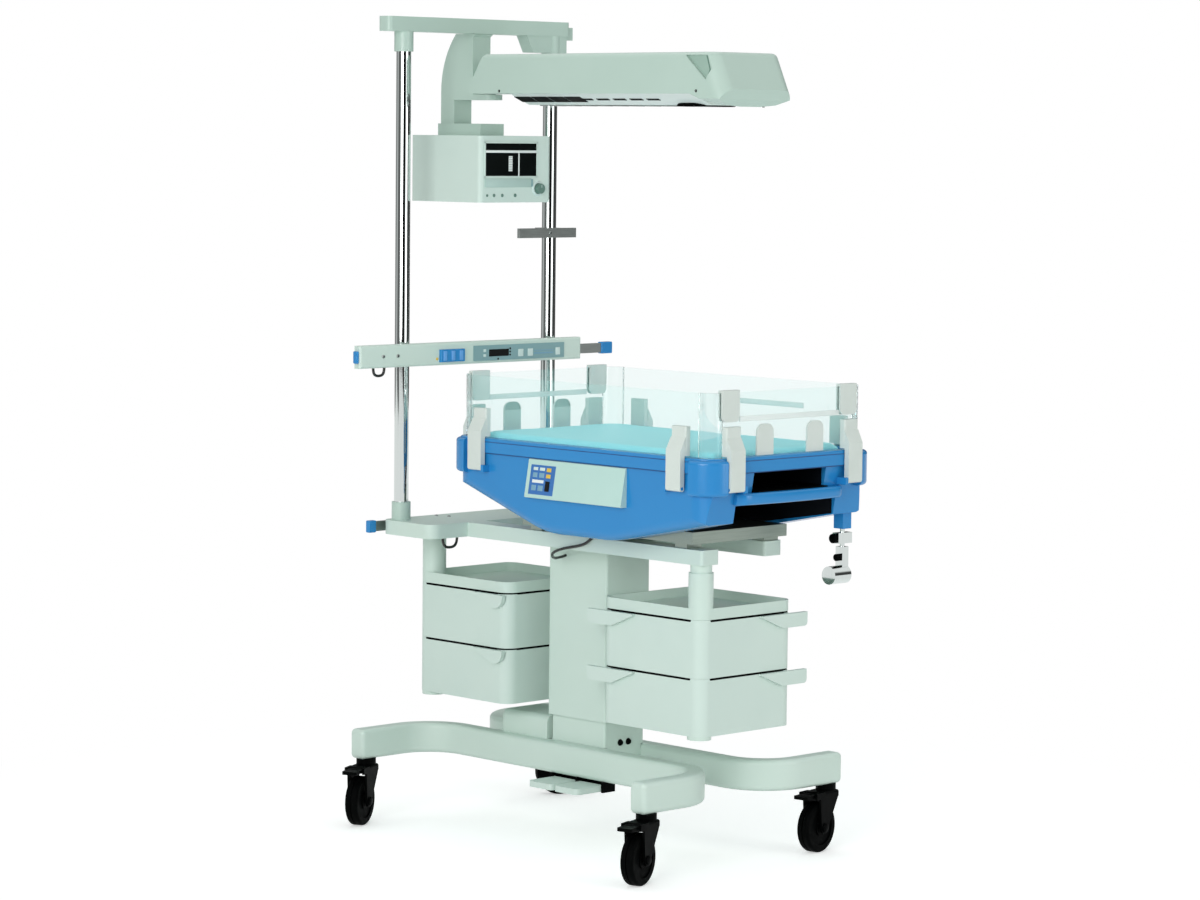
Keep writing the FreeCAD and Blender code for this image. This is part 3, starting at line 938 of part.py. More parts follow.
# hanging hose clamp: stem, cross piece, screw body, wing knobs, round jaw
clampAxis = (clampX, clampY)
wingStart = f"{clampX} - crossHalf - wingLong"
screwStart = f"{clampX} - bodyHalf - wingLong"
clampSide = (f"{clampY} - bodyHalf", f"{clampY} + bodyHalf")
clamp = [rod("clamp_stem", "clampStem", "Z", clampAxis,
             ("clampStemBottom", "holderBottom + holderSocket - pinEndGap")),
         box("clamp_cross", (f"{clampX} - crossHalf", f"{clampX} + crossHalf"),
             (f"{clampY} - crossDeep", f"{clampY} + crossDeep"), ("crossBottom", "crossTop")),
         rod("clamp_wing", "wingRadius", "X", (clampY, "(crossBottom + crossTop) / 2"),
             (wingStart, f"{clampX} - crossHalf")),
         box("clamp_body", (f"{clampX} - bodyHalf", f"{clampX} + bodyHalf"), clampSide,
             ("bodyBottom", "bodyTop")),
         rod("clamp_screw", "screwRadius", "X", (clampY, "screwZ"), (screwStart, f"{clampX} - bodyHalf")),
         rod("clamp_jaw", "jawRadius", "X", (clampY, "jawZ"),
             (f"{clampX} + bodyHalf - jawLong", f"{clampX} + bodyHalf"))]
node(fuse("hose_clamp", *clamp), "hose_clamp")

# screws on the head plate, the control bar and the short rail
heads = []
for n in range(2):
    spot = (f"plateScrewX + {n} * plateScrewStep", f"headBack - plateScrewY - {n} * plateScrewPitch")
    heads.append(rod(f"plate_screw_{n + 1}", "screwHead", "Z", spot,
                     (platformTop, f"{platformTop} + screwHigh")))
    spot = (f"caseLeft + caseScrewX + {n} * caseScrewPitch", "(caseBottom + caseTop) / 2")
    heads.append(rod(f"case_screw_{n + 1}", "screwHead", "Y", spot, ("caseFront - screwHigh", "caseFront")))
heads.append(rod("short_screw", "screwHead", "Y", ("poleX - clampHalf", "shortBottom + railTall / 2"),
                 (f"{shortY} - railThick - screwHigh", f"{shortY} - railThick")))
node(group("screws", *heads), "screws")


def cable(name, points, radius):
    route = [FreeCAD.Vector(*p) for p in points]
    edges = []
    last = route[0]
    for before, here, after in zip(route, route[1:], route[2:]):
        way = here.sub(before)
        on = after.sub(here)
        turn = way.getAngle(on)
        step = 0.45 * min(way.Length, on.Length)
        bend = step / math.tan(turn / 2)
        start = here.sub(FreeCAD.Vector(way).normalize().multiply(step))
        stop = here.add(FreeCAD.Vector(on).normalize().multiply(step))
        inward = FreeCAD.Vector(on).normalize().sub(FreeCAD.Vector(way).normalize()).normalize()
        middle = here.add(inward.multiply(bend / math.cos(turn / 2) - bend))
        edges.append(Part.LineSegment(last, start).toShape())
        edges.append(Part.Arc(start, middle, stop).toShape())
        print(name, "bend radius", round(bend, 1))
        last = stop
    edges.append(Part.LineSegment(last, route[-1]).toShape())
    path = Part.Wire(edges)
    ring = Part.Wire([Part.Circle(route[0], route[1].sub(route[0]), radius).toShape()])
    item = doc.addObject("Part::Feature", name)
    item.Shape = path.makePipeShell([ring], True, False)
    item.Placement = FreeCAD.Placement()
    print(name, "volume share", round(item.Shape.Volume / (math.pi * radius ** 2 * path.Length), 4))
    return item


# cables: two hanging loops and the lead from the column top to the platform's side rail
loops = []
barMiddle = "(caseFront + caseBack) / 2"
for name, x, y, z, radius in (("plate_loop", "loopX", "loopY", "platformBottom", "loopRadius"),
                              ("bar_loop", "barLoopX", barMiddle, "caseBottom", "barLoopRadius")):
    loop = doc.addObject("Part::Torus", name)
    loop.setExpression("Radius1", bound(radius))
    loop.setExpression("Radius2", bound("cableRadius"))
    loop.Angle3 = 180
    turn = FreeCAD.Rotation(FreeCAD.Vector(1, 0, 0), -90)
    loops.append(put(loop, x, y, z, turn))
edgeX = size("sleeveX") / 2
railX = size("railOuter")
top = size("platformBottom")
face = railX + 5
lead = cable("lead", [(-edgeX, 24, top - 30), (-edgeX - 32, 20, top - 35), (-edgeX - 66, 4, top - 29),
                      (1.5 - face, -24, top - 11), (-face, -70, top + 3), (-face, -118, top + 12),
                      (-face, -146, top + 21), (0.5 - face, -168, top + 39), (-railX + 17, -178, top + 43),
                      (-railX + 55, -184, top + 43), (-railX + 73, -188, top + 31),
                      (-railX + 75, -190, top + 12)], size("cableRadius"))
node(group("cables", *loops, lead), "cables")

doc.recompute()
for item in doc.Objects:
    if "Invalid" in item.State or "Error" in item.State:
        raise RuntimeError(f"{item.Label} failed: {item.State}")
for item in nodes:
    if item.Shape.isNull() or not item.Shape.isValid() or not item.Shape.Solids:
        raise RuntimeError(f"{item.Label} has no valid solid")
os.makedirs("parts", exist_ok=True)
for item in nodes:
    item.Shape.exportStep(f"parts/{item.Label}.step")
print(len(nodes), "nodes")
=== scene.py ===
import bpy
import bmesh
import math
from mathutils import Matrix, Vector


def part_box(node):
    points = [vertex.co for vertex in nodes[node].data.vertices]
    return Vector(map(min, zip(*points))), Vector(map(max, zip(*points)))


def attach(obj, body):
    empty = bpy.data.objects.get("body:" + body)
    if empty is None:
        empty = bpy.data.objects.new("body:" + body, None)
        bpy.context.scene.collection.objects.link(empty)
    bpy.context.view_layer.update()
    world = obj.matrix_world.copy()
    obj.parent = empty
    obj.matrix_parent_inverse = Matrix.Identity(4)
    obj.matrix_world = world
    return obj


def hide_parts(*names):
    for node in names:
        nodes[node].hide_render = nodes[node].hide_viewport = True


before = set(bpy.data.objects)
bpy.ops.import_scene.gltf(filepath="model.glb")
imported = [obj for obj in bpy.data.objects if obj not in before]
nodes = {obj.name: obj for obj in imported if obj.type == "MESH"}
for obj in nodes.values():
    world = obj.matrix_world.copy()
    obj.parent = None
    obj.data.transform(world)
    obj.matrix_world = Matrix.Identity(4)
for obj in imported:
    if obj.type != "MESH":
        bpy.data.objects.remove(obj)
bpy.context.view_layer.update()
scene = bpy.context.scene
print("frame loaded:", len(nodes), "nodes")


# colours are written as sRGB hex and used as linear light
def linear(hexText):
    parts = [int(hexText[i:i + 2], 16) / 255 for i in (1, 3, 5)]
    return tuple(c / 12.92 if c <= 0.04045 else ((c + 0.055) / 1.055) ** 2.4 for c in parts) + (1.0,)


def addNode(tree, kind, inputs=None, **settings):
    item = tree.nodes.new(kind)
    for key, value in settings.items():
        setattr(item, key, value)
    for key, value in (inputs or {}).items():
        socket = item.inputs[key]
        if isinstance(value, bpy.types.NodeSocket):
            tree.links.new(value, socket)
        else:
            socket.default_value = value
    return item


def addOut(tree, kind, inputs=None, **settings):
    return addNode(tree, kind, inputs, **settings).outputs[0]


def addNoise(tree, place, scale, detail):
    return addOut(tree, "ShaderNodeTexNoise", {"Vector": place, "Scale": scale, "Detail": detail})


def addTone(tree, share, dark, light):
    colours = {0: share, 6: linear(dark), 7: linear(light)}
    return addNode(tree, "ShaderNodeMix", colours, data_type="RGBA").outputs[2]


def addRange(tree, value, ends, start=(0.0, 1.0)):
    limits = {"From Min": start[0], "From Max": start[1], "To Min": ends[0], "To Max": ends[1]}
    return addOut(tree, "ShaderNodeMapRange", {"Value": value, **limits})


def addBump(tree, height, strength, distance):
    return addOut(tree, "ShaderNodeBump", {"Height": height, "Strength": strength, "Distance": distance})


def addEither(tree, first, second):
    return addOut(tree, "ShaderNodeMath", {0: first, 1: second}, operation="MAXIMUM")


def addMix(tree, share, first, second):
    return addOut(tree, "ShaderNodeMixShader", {0: share, 1: first, 2: second})


def startMaterial(name):
    material = bpy.data.materials.new(name)
    material.use_nodes = True
    tree = material.node_tree
    tree.nodes.clear()
    return material, tree, addNode(tree, "ShaderNodeTexCoord").outputs["Object"]


def endMaterial(tree, inputs):
    shader = addOut(tree, "ShaderNodeBsdfPrincipled", inputs)
    addNode(tree, "ShaderNodeOutputMaterial", {"Surface": shader})


noiseSpan = (0.3, 0.7)  # where most values of a noise lie


# coated and moulded surfaces: a cloudy tone, a fine skin and a roughness that follows the cloud
def skinMaterial(name, dark, light, cloudMm, grainMm, rough, bump, ior=1.5, specular=0.5, alpha=1.0):
    material, tree, place = startMaterial(name)
    cloud = addNoise(tree, place, 1000 / cloudMm, detail=3.0)
    grain = addNoise(tree, place, 1000 / grainMm, detail=2.0)
    endMaterial(tree, {"Base Color": addTone(tree, cloud, dark, light),
                       "Roughness": addRange(tree, cloud, rough, noiseSpan),
                       "Normal": addBump(tree, grain, bump, distance=0.001),
                       "IOR": ior, "Specular IOR Level": specular, "Alpha": alpha})
    return material


# drawn and brushed metal: streaks along one axis break up the gloss
def streakMaterial(name, dark, light, streakMm, stretch, rough, bump):
    material, tree, place = startMaterial(name)
    lay = addOut(tree, "ShaderNodeMapping", {"Vector": place, "Scale": stretch})
    streak = addNoise(tree, lay, 1000 / streakMm, detail=4.0)
    endMaterial(tree, {"Base Color": addTone(tree, streak, dark, light),
                       "Roughness": addRange(tree, streak, rough),
                       "Normal": addBump(tree, streak, bump, distance=0.0005), "Metallic": 1.0})
    return material


# polyester powder coat on steel: satin, faint orange peel about 2 mm across
powder = {"cloudMm": 260, "grainMm": 2.2, "bump": 0.05}
enamel = skinMaterial("powderCoatMint", "#C7DBD1", "#D1E2D9", rough=(0.34, 0.44), **powder)
# the same coat, darker and greyer, on the hood, its arm and the top bar
hoodEnamel = skinMaterial("powderCoatSage", "#B2C9BE", "#BDD2C8", rough=(0.30, 0.40), **powder)
# the same coat, darkened as painted shade, on the floor of the nose's recesses
hoodShade = skinMaterial("powderCoatSagePaintedShade", "#94B0A3", "#A0BAAE", cloudMm=60, grainMm=2.2,
                         rough=(0.44, 0.54), bump=0.06)
# green-grey and dull: painted shade along the front wall of each V recess on the nose
veeWallShade = skinMaterial("veeWallPaintedShade", "#5F8072", "#6B8B7E", cloudMm=15, grainMm=1.0,
                        rough=(0.6, 0.7), bump=0.08)
# moulded ABS shells: spark-eroded grain, drawn at 1.4 mm so that it shows
shellAbs = skinMaterial("mouldedAbsMint", "#C8DBD3", "#D3E3DB", cloudMm=180, grainMm=1.4,
                        rough=(0.40, 0.50), bump=0.06)
# ABS of the side panel, cooler than the shells
panelAbs = skinMaterial("mouldedAbsAqua", "#B4D7CF", "#C0DED7", cloudMm=120, grainMm=1.4,
                        rough=(0.36, 0.46), bump=0.05)
# gloss ABS, deep drawn and polished: soft sheen with long reflections
tubAbs = skinMaterial("glossAbsBlue", "#1F7FC1", "#2A8BCB", cloudMm=300, grainMm=3.0,
                      rough=(0.18, 0.26), bump=0.03, specular=0.42)
# the same ABS, darkened and matt: painted shade in the grooves, wells and slot of the tub
wellShadeAbs = skinMaterial("paintedShadeAbsNight", "#03070D", "#060C16", cloudMm=120, grainMm=1.6,
                       rough=(0.60, 0.75), bump=0.08, specular=0.15)
grooveShadeAbs = skinMaterial("paintedShadeAbsNavy", "#0C3F74", "#124A83", cloudMm=120, grainMm=1.6,
                         rough=(0.45, 0.55), bump=0.05)
# ribs of the push button, moulded in a paler blue ABS
capAbs = skinMaterial("mouldedAbsSky", "#5C9EDF", "#6DABE6", cloudMm=40, grainMm=1.4,
                      rough=(0.30, 0.38), bump=0.04)
# grey polycarbonate clips and arms: smooth, slightly cloudy
clipPc = skinMaterial("polycarbonateGrey", "#CBD5CF", "#D9E1DC", cloudMm=60, grainMm=1.2,
                      rough=(0.36, 0.46), bump=0.05, ior=1.58)
# grey-green ABS of the turn knob and its small keys
knobAbs = skinMaterial("mouldedAbsGrey", "#597A6F", "#64867A", cloudMm=20, grainMm=1.2,
                       rough=(0.40, 0.50), bump=0.06)
# glass-filled nylon: black, dull, fine grit about 0.9 mm
nylonBlack = skinMaterial("glassNylonBlack", "#010202", "#030404", cloudMm=40, grainMm=0.9,
                          rough=(0.38, 0.52), bump=0.10, specular=0.03)
# black polyurethane tread, rougher than the nylon
tyreRubber = skinMaterial("polyurethaneTread", "#010202", "#030404", cloudMm=18, grainMm=0.8,
                          rough=(0.50, 0.70), bump=0.12, specular=0.03)
# matt black bands in the gaps between the drawers: painted shade of the gaps
drawerGapShade = skinMaterial("drawerGapPaintedShade", "#020303", "#050606", cloudMm=12, grainMm=1.0,
                        rough=(0.80, 0.92), bump=0.2, specular=0.05)
# polyester membrane film, printed on the back in plain tones
film = {"grainMm": 0.9, "rough": (0.38, 0.46), "bump": 0.05}
filmTeal = skinMaterial("polyesterFilmTeal", "#7DA2A6", "#8AAEB1", cloudMm=90, **film)
filmPale = skinMaterial("polyesterFilmPale", "#C9DDD9", "#D8E8E4", cloudMm=30, **film)
filmMist = skinMaterial("polyesterFilmMist", "#A9C3BC", "#B5CDC6", cloudMm=40, **film)
filmSky = skinMaterial("polyesterFilmSky", "#6F9DB6", "#7FABC2", cloudMm=30, **film)
filmAmber = skinMaterial("polyesterFilmAmber", "#D9B23C", "#E6C552", cloudMm=20, **film)
filmNavy = skinMaterial("polyesterFilmNavy", "#2F69AE", "#3D78BC", cloudMm=30, grainMm=0.9,
                        rough=(0.36, 0.44), bump=0.05)
# smoked acrylic display window: near black and glossy
smokedAcrylic = skinMaterial("smokedAcrylic", "#070A0A", "#0D1312", cloudMm=120, grainMm=4.0,
                             rough=(0.10, 0.16), bump=0.01, ior=1.49, specular=0.2)
# opal acrylic: lamp cover and the light bars of the displays
lampWhite = skinMaterial("opalAcrylic", "#E3EAE7", "#EEF3F1", cloudMm=50, grainMm=1.0,
                         rough=(0.30, 0.38), bump=0.04)
# white stove enamel on the heater's pan
panEnamel = skinMaterial("stoveEnamelWhite", "#DCE6E1", "#E6EEEA", cloudMm=120, grainMm=2.0,
                         rough=(0.30, 0.40), bump=0.05)
# frosted polycarbonate strips along the clear walls
stripPc = skinMaterial("frostedPolycarbonate", "#EEF4F1", "#F5F9F7", cloudMm=60, grainMm=1.0,
                       rough=(0.46, 0.56), bump=0.05, ior=1.58, alpha=0.6)
# PVC jacket: black with a wet sheen
jacketPvc = skinMaterial("pvcJacket", "#101312", "#1B1F1D", cloudMm=25, grainMm=1.0,
                         rough=(0.22, 0.30), bump=0.04)
# quartz-ceramic heating rod: warm dull grey
ceramicRod = skinMaterial("ceramicRod", "#6B625B", "#857A70", cloudMm=22, grainMm=1.0,
                          rough=(0.6, 0.75), bump=0.15)
# zinc-plated steel of the bed's carrier: grey-green, rolled across the plate
carrierSteel = streakMaterial("zincPlatedSteel", "#8B998F", "#A9B5AC", streakMm=3, stretch=(0.04, 1, 1),
                              rough=(0.28, 0.42), bump=0.03)
# hard chrome on drawn tube: mirror with faint draw lines along the pole
chrome = streakMaterial("hardChrome", "#C6CDCC", "#DBE1DF", streakMm=4, stretch=(1, 1, 0.001),
                        rough=(0.03, 0.06), bump=0.001)
# brushed stainless: satin streaks 1.5 mm apart, drawn coarse so that they show
brushed = streakMaterial("brushedStainless", "#7E8583", "#AEB5B2", streakMm=1.5, stretch=(0.03, 1, 1),
                         rough=(0.26, 0.40), bump=0.05)
# bright anodised aluminium sheet, rolled along the heater
anodised = streakMaterial("anodisedAluminium", "#A3AAA8", "#C6CCCA", streakMm=2, stretch=(1, 0.03, 1),
                          rough=(0.20, 0.32), bump=0.04)


# cast acrylic: water-white with a cool cast, wiped clean in faint clouds
def acrylicMaterial(name, tint, clear, alpha):
    material, tree, place = startMaterial(name)
    wipe = addNoise(tree, place, scale=14.0, detail=3.0)
    endMaterial(tree, {"Base Color": linear(tint), "Roughness": addRange(tree, wipe, (0.02, 0.07)),
                       "IOR": 1.49, "Transmission Weight": clear, "Alpha": alpha})
    return material


acrylic = acrylicMaterial("castAcrylicSheet", tint="#AEF3EC", clear=0.0, alpha=0.085)
tubeAcrylic = acrylicMaterial("castAcrylicTube", tint="#EAF8F6", clear=1.0, alpha=0.72)


# polyurethane-coated knit: wipe-clean cover, a knit of 2.6 mm shown through the film, soft sheen
def coverMaterial(name, knitMm):
    material, tree, place = startMaterial(name)
    knit = addOut(tree, "ShaderNodeTexVoronoi", {"Vector": place, "Scale": 1000 / knitMm})
    cloud = addNoise(tree, place, scale=9.0, detail=4.0)
    crease = addNoise(tree, place, scale=26.0, detail=3.0)
    height = addOut(tree, "ShaderNodeMath", {0: knit, 1: crease}, operation="ADD")
    endMaterial(tree, {"Base Color": addTone(tree, cloud, "#8AEEFA", "#A2F4FD"),
                       "Roughness": addRange(tree, cloud, (0.42, 0.56)),
                       "Normal": addBump(tree, height, strength=0.12, distance=0.001),
                       "Sheen Weight": 0.15, "Sheen Roughness": 0.5})
    return material


coverKnit = coverMaterial("coatedKnitCyan", knitMm=2.6)

# finishes of the carried-over nodes
finishes = {
    enamel: ["leg_right", "leg_left", "base_bridge", "column_inner", "column_outer", "platform",
             "drawer_masts", "control_bar"],
    hoodEnamel: ["top_bar", "heater_arm", "heater_housing"],
    panelAbs: ["side_panel"],
    shellAbs: ["drawer_foot_lower", "drawer_foot_upper", "drawer_head_lower", "drawer_head_upper",
               "monitor_case", "pedal_raise", "pedal_lower"],
    nylonBlack: ["pedal_bracket"],
    tyreRubber: [],
    knobAbs: ["monitor_knob"],
    tubAbs: ["tub", "corner_bumpers", "rail_caps", "push_button", "xray_tray"],
    clipPc: ["wall_frame_foot", "wall_frame_right", "wall_frame_head", "wall_frame_left"],
    acrylic: ["wall_foot", "wall_right", "wall_head", "wall_left"],
    tubeAcrylic: ["corner_tubes"],
    filmTeal: ["control_panel"],
    smokedAcrylic: ["display_windows"],
    chrome: ["poles", "hose_clamp"],
    brushed: ["equipment_rails", "lift_drive", "screws"],
    carrierSteel: ["bed_carrier"],
    panEnamel: ["heater_grille"],
    anodised: ["heater_reflector"],
    ceramicRod: ["heater_element"],
    jacketPvc: ["cables"],
    coverKnit: ["mattress"],
}
for corner in ("head_left", "foot_left", "foot_right", "head_right"):
    finishes[nylonBlack] += [f"caster_fork_{corner}", f"caster_brake_{corner}"]
    finishes[tyreRubber].append(f"caster_wheel_{corner}")
for material, names in finishes.items():
    for name in names:
        for slot in nodes[name].material_slots:
            slot.material = material
print("finishes set")


def smoothMesh(name, build, angle=40):
    bm = bmesh.new()
    build(bm)
    bmesh.ops.recalc_face_normals(bm, faces=bm.faces)
    mesh = bpy.data.meshes.new(name)
    bm.to_mesh(mesh)
    bm.free()
    mesh.shade_smooth()
    mesh.set_sharp_from_angle(angle=math.radians(angle))
    return mesh


def makePiece(name, build, material, body, angle=40):
    item = bpy.data.objects.new(name, smoothMesh(name, build, angle))
    scene.collection.objects.link(item)
    item.data.materials.append(material)
    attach(item, body)
    return item


# the shape that an item's modifiers give it, as a plain mesh, with the modifiers removed
def settledMesh(item):
    depsgraph = bpy.context.evaluated_depsgraph_get()
    mesh = bpy.data.meshes.new_from_object(item.evaluated_get(depsgraph))
    item.modifiers.clear()
    return mesh


# faces between rings of points, which are capped at both ends or looped back to the first ring
def joinRings(bm, spots, looped=False):
    rings = [[bm.verts.new(spot) for spot in ring] for ring in spots]
    count = len(rings[0])
    for a, b in zip(rings, rings[1:] + rings[:1] if looped else rings[1:]):
        for n in range(count):
            bm.faces.new((a[n], a[(n + 1) % count], b[(n + 1) % count], b[n]))
    if not looped:
        bm.faces.new(rings[0][::-1])
        bm.faces.new(rings[-1])


# a box with softened edges, corners given in metres
def softBox(bm, low, high, bevel, segments):
    made = bmesh.ops.create_cube(bm, size=1.0)["verts"]
    for v in made:
        v.co = Vector(low[i] + (v.co[i] + 0.5) * (high[i] - low[i]) for i in range(3))
    edges = list(dict.fromkeys(e for v in made for e in v.link_edges))  # in the same order on each run
    bmesh.ops.bevel(bm, geom=edges, offset=bevel, segments=segments, profile=0.5, affect="EDGES")


# a turned piece: profile of (radius, height) along a direction from a point
def turnedForm(bm, profile, centre, axis, steps):
    turn = Vector(axis).to_track_quat("Z", "Y").to_matrix()
    angles = [2 * math.pi * n / steps for n in range(steps)]
    joinRings(bm, [[turn @ Vector((radius * math.cos(a), radius * math.sin(a), height)) + Vector(centre)
                    for a in angles] for radius, height in profile])


# corners of a rounded rectangle, each in a number of steps
def roundPlan(x0, x1, y0, y1, bend, steps):
    points = []
    for cx, cy, start in ((x1 - bend, y0 + bend, -90), (x1 - bend, y1 - bend, 0), (x0 + bend, y1 - bend, 90),
                          (x0 + bend, y0 + bend, 180)):
        for n in range(steps + 1):
            a = math.radians(start + 90 * n / steps)
            points.append((cx + bend * math.cos(a), cy + bend * math.sin(a)))
    return points


# a level band along a rounded rectangle, between two insets from it
def bandForm(bm, sides, bend, insets, low, high, steps):
    x0, x1, y0, y1 = sides
    outer, inner = (roundPlan(x0 + d, x1 - d, y0 + d, y1 - d, bend - d, steps) for d in insets)
    joinRings(bm, [[(x, y, z) for x, y in plan]
                   for plan, z in ((outer, low), (outer, high), (inner, high), (inner, low))], looped=True)


# a slab across the object: corners as (y, z), from one x to another
def slabForm(bm, corners, near, far):
    joinRings(bm, [[(x, y, z) for y, z in corners] for x in (near, far)])


# raised fields on a face that looks to the foot, each as (left, right, low, high)
def faceFields(bm, front, fields, proud, sunk, bevel, segments):
    for x0, x1, z0, z1 in fields:
        softBox(bm, (x0, front - proud, z0), (x1, front + sunk, z1), bevel, segments)


# small round caps on a face that looks to the foot, each as (x, z, radius)
def faceCaps(bm, front, caps, side, top, shrink, steps, sunk=0.0005):
    for x, z, r in caps:
        turnedForm(bm, [(r, -sunk), (r, side), (r - shrink, top)], (x, front, z), (0, -1, 0), steps)


# node trees that shape a piece: named inputs, and an end that makes the copies real and coats them
def startTree(name, sockets):
    tree = bpy.data.node_groups.new(name, "GeometryNodeTree")
    tree.interface.new_socket("Geometry", in_out="INPUT", socket_type="NodeSocketGeometry")
    ids = [tree.interface.new_socket(text, in_out="INPUT", socket_type="NodeSocket" + kind).identifier
           for text, kind in sockets.items()]
    tree.interface.new_socket("Geometry", in_out="OUTPUT", socket_type="NodeSocketGeometry")
    return tree, ids, addNode(tree, "NodeGroupInput").outputs


def coated(tree, shape, material):
    return addOut(tree, "GeometryNodeSetMaterial", {"Geometry": shape, "Material": material})


def endTree(tree, shape, material):
    whole = addOut(tree, "GeometryNodeRealizeInstances", {0: shape})
    addNode(tree, "NodeGroupOutput", {0: coated(tree, whole, material)})


# a piece shaped by a node tree and baked to a plain mesh before it joins its body
def treePiece(name, mesh, rule, values, body, smooth=False):
    tree, ids = rule
    item = bpy.data.objects.new(name, mesh)
    scene.collection.objects.link(item)
    modifier = item.modifiers.new("rule", "NODES")
    modifier.node_group = tree
    for identifier, value in zip(ids, values):
        modifier[identifier] = value
    bpy.context.view_layer.update()
    item.data = settledMesh(item)
    if smooth:
        item.data.shade_smooth()
    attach(item, body)
    return item


# camera at the photograph's viewing angle
view = {"lens": 111.30, "sensor": 36, "place": (-6.38047, -6.62988, 1.75704), "yaw": 43.97, "pitch": 4.88,
        "roll": 0.60}
yaw, pitch, roll = (math.radians(view[k]) for k in ("yaw", "pitch", "roll"))
forward = Vector((math.sin(yaw) * math.cos(pitch), math.cos(yaw) * math.cos(pitch), -math.sin(pitch)))
right = Vector((math.cos(yaw), -math.sin(yaw), 0))
up = right.cross(forward)
camX = right * math.cos(roll) + up * math.sin(roll)
camY = -right * math.sin(roll) + up * math.cos(roll)
lens = bpy.data.cameras.new("photoView")
lens.lens = view["lens"]
lens.sensor_width = view["sensor"]
lens.sensor_fit = "HORIZONTAL"
lens.clip_end = 100
lens.dof.use_dof = False
camera = bpy.data.objects.new("photoView", lens)
camera.matrix_world = Matrix((camX, camY, -forward)).transposed().to_4x4()
camera.location = view["place"]
scene.collection.objects.link(camera)
scene.camera = camera
print("camera set")

# cables: two short loops and the lift's lead, on the routes of their solids
cableRadius = 0.0035
cables = {
    "plateLoop": {"long": 0.0845, "route": [
        (-0.224, 0.318, 0.741), (-0.224, 0.318, 0.727), (-0.214, 0.318, 0.714), (-0.186, 0.318, 0.714),
        (-0.176, 0.318, 0.727), (-0.176, 0.318, 0.741)]},
    "barLoop": {"long": 0.063, "route": [
        (-0.384, 0.403, 1.168), (-0.384, 0.403, 1.1575), (-0.3765, 0.403, 1.148), (-0.3555, 0.403, 1.148),
        (-0.348, 0.403, 1.1575), (-0.348, 0.403, 1.168)]},
    "liftLead": {"long": 0.362, "route": [
        (-0.0755, 0.024, 0.711), (-0.1075, 0.020, 0.706), (-0.1415, 0.004, 0.712), (-0.1665, -0.024, 0.730),
        (-0.168, -0.070, 0.744), (-0.168, -0.118, 0.753), (-0.168, -0.146, 0.762), (-0.1675, -0.168, 0.780),
        (-0.146, -0.178, 0.784), (-0.108, -0.184, 0.784), (-0.090, -0.188, 0.772), (-0.088, -0.190, 0.753)]},
}
for name, cable in cables.items():
    curve = bpy.data.curves.new(name, "CURVE")
    curve.dimensions = "3D"
    curve.bevel_depth = cableRadius
    curve.bevel_resolution = 4
    curve.resolution_u = 12
    curve.use_fill_caps = True
    spline = curve.splines.new("NURBS")
    spline.points.add(len(cable["route"]) - 1)
    for target, spot in zip(spline.points, cable["route"]):
        target.co = spot + (1,)
    spline.order_u = 3
    spline.use_endpoint_u = True
    curve.materials.append(jacketPvc)
    item = bpy.data.objects.new(name, curve)
    scene.collection.objects.link(item)
    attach(item, "lift")
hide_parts("cables")
print("cables laid")

# mattress: a foam pad in a welded cover, swollen by a cloth run; layers are (share of height, inset)
pad = {"inset": 0.006, "bend": 0.034, "steps": 8, "voxel": 0.006, "frames": 20, "cap": 0.006,
       "layers": ((0.000, 0.006), (0.2, 0.001), (0.5, 0.0), (0.78, 0.003), (0.90, 0.012)),
       "crown": 0.0025, "crownX": 0.24, "crownY": 0.40, "crownShare": 0.6}
padCloth = {"quality": 4, "mass": 0.3, "tension_stiffness": 25, "compression_stiffness": 25,
            "shear_stiffness": 8, "bending_stiffness": 2, "use_pressure": True, "uniform_pressure_force": 4.0}
padLow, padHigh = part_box("mattress")
padMidY = (padHigh.y + padLow.y) / 2
padTall = padHigh.z - padLow.z


def padPlan(inset, bend):
    halfX = (padHigh.x - padLow.x) / 2 - inset
    halfY = (padHigh.y - padLow.y) / 2 - inset
    return roundPlan(-halfX, halfX, padMidY - halfY, padMidY + halfY, bend, pad["steps"])


def padBlank(bm):
    joinRings(bm, [[(x, y, padLow.z + share * padTall) for x, y in padPlan(pad["inset"] + inset, pad["bend"])]
                   for share, inset in pad["layers"]])


def swellPad(item):
    remesh = item.modifiers.new("even", "REMESH")
    remesh.mode = "VOXEL"
    remesh.voxel_size = pad["voxel"]
    even = settledMesh(item)
    item.data = even
    start = [v.co.copy() for v in even.vertices]
    cloth = item.modifiers.new("swell", "CLOTH")
    for key, value in padCloth.items():
        setattr(cloth.settings, key, value)
    cloth.settings.effector_weights.gravity = 0
    cloth.collision_settings.use_collision = False
    for count in range(1, pad["frames"] + 1):
        scene.frame_set(count)
    swollen = settledMesh(item)
    moved = [v.co.copy() for v in swollen.vertices]
    bpy.data.meshes.remove(swollen)
    scene.frame_set(1)
    for v, a, b in zip(even.vertices, start, moved):
        step = b - a
        if step.length > pad["cap"]:
            step *= pad["cap"] / step.length
        v.co = a + step
    for v in even.vertices:  # flat underneath, crowned on top, kept inside the solid's box
        v.co.z = max(v.co.z, padLow.z)
        across = max(0.0, 1 - (v.co.x / pad["crownX"]) ** 4)
        along = max(0.0, 1 - ((v.co.y - padMidY) / pad["crownY"]) ** 4)
        if v.co.z > padLow.z + pad["crownShare"] * padTall:
            v.co.z += pad["crown"] * (across * along)
        v.co.x = min(max(v.co.x, padLow.x), padHigh.x)
        v.co.y = min(max(v.co.y, padLow.y), padHigh.y)
        v.co.z = min(v.co.z, padHigh.z)
    even.shade_smooth()
    finer = item.modifiers.new("finer", "SUBSURF")
    finer.levels = 1
    finer.render_levels = 1
    item.data = settledMesh(item)
    item.data.shade_smooth()


mattressPad = makePiece("mattressPad", padBlank, coverKnit, "bed", angle=180)
swellPad(mattressPad)
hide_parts("mattress")
print("mattress:", len(mattressPad.data.vertices), "points")

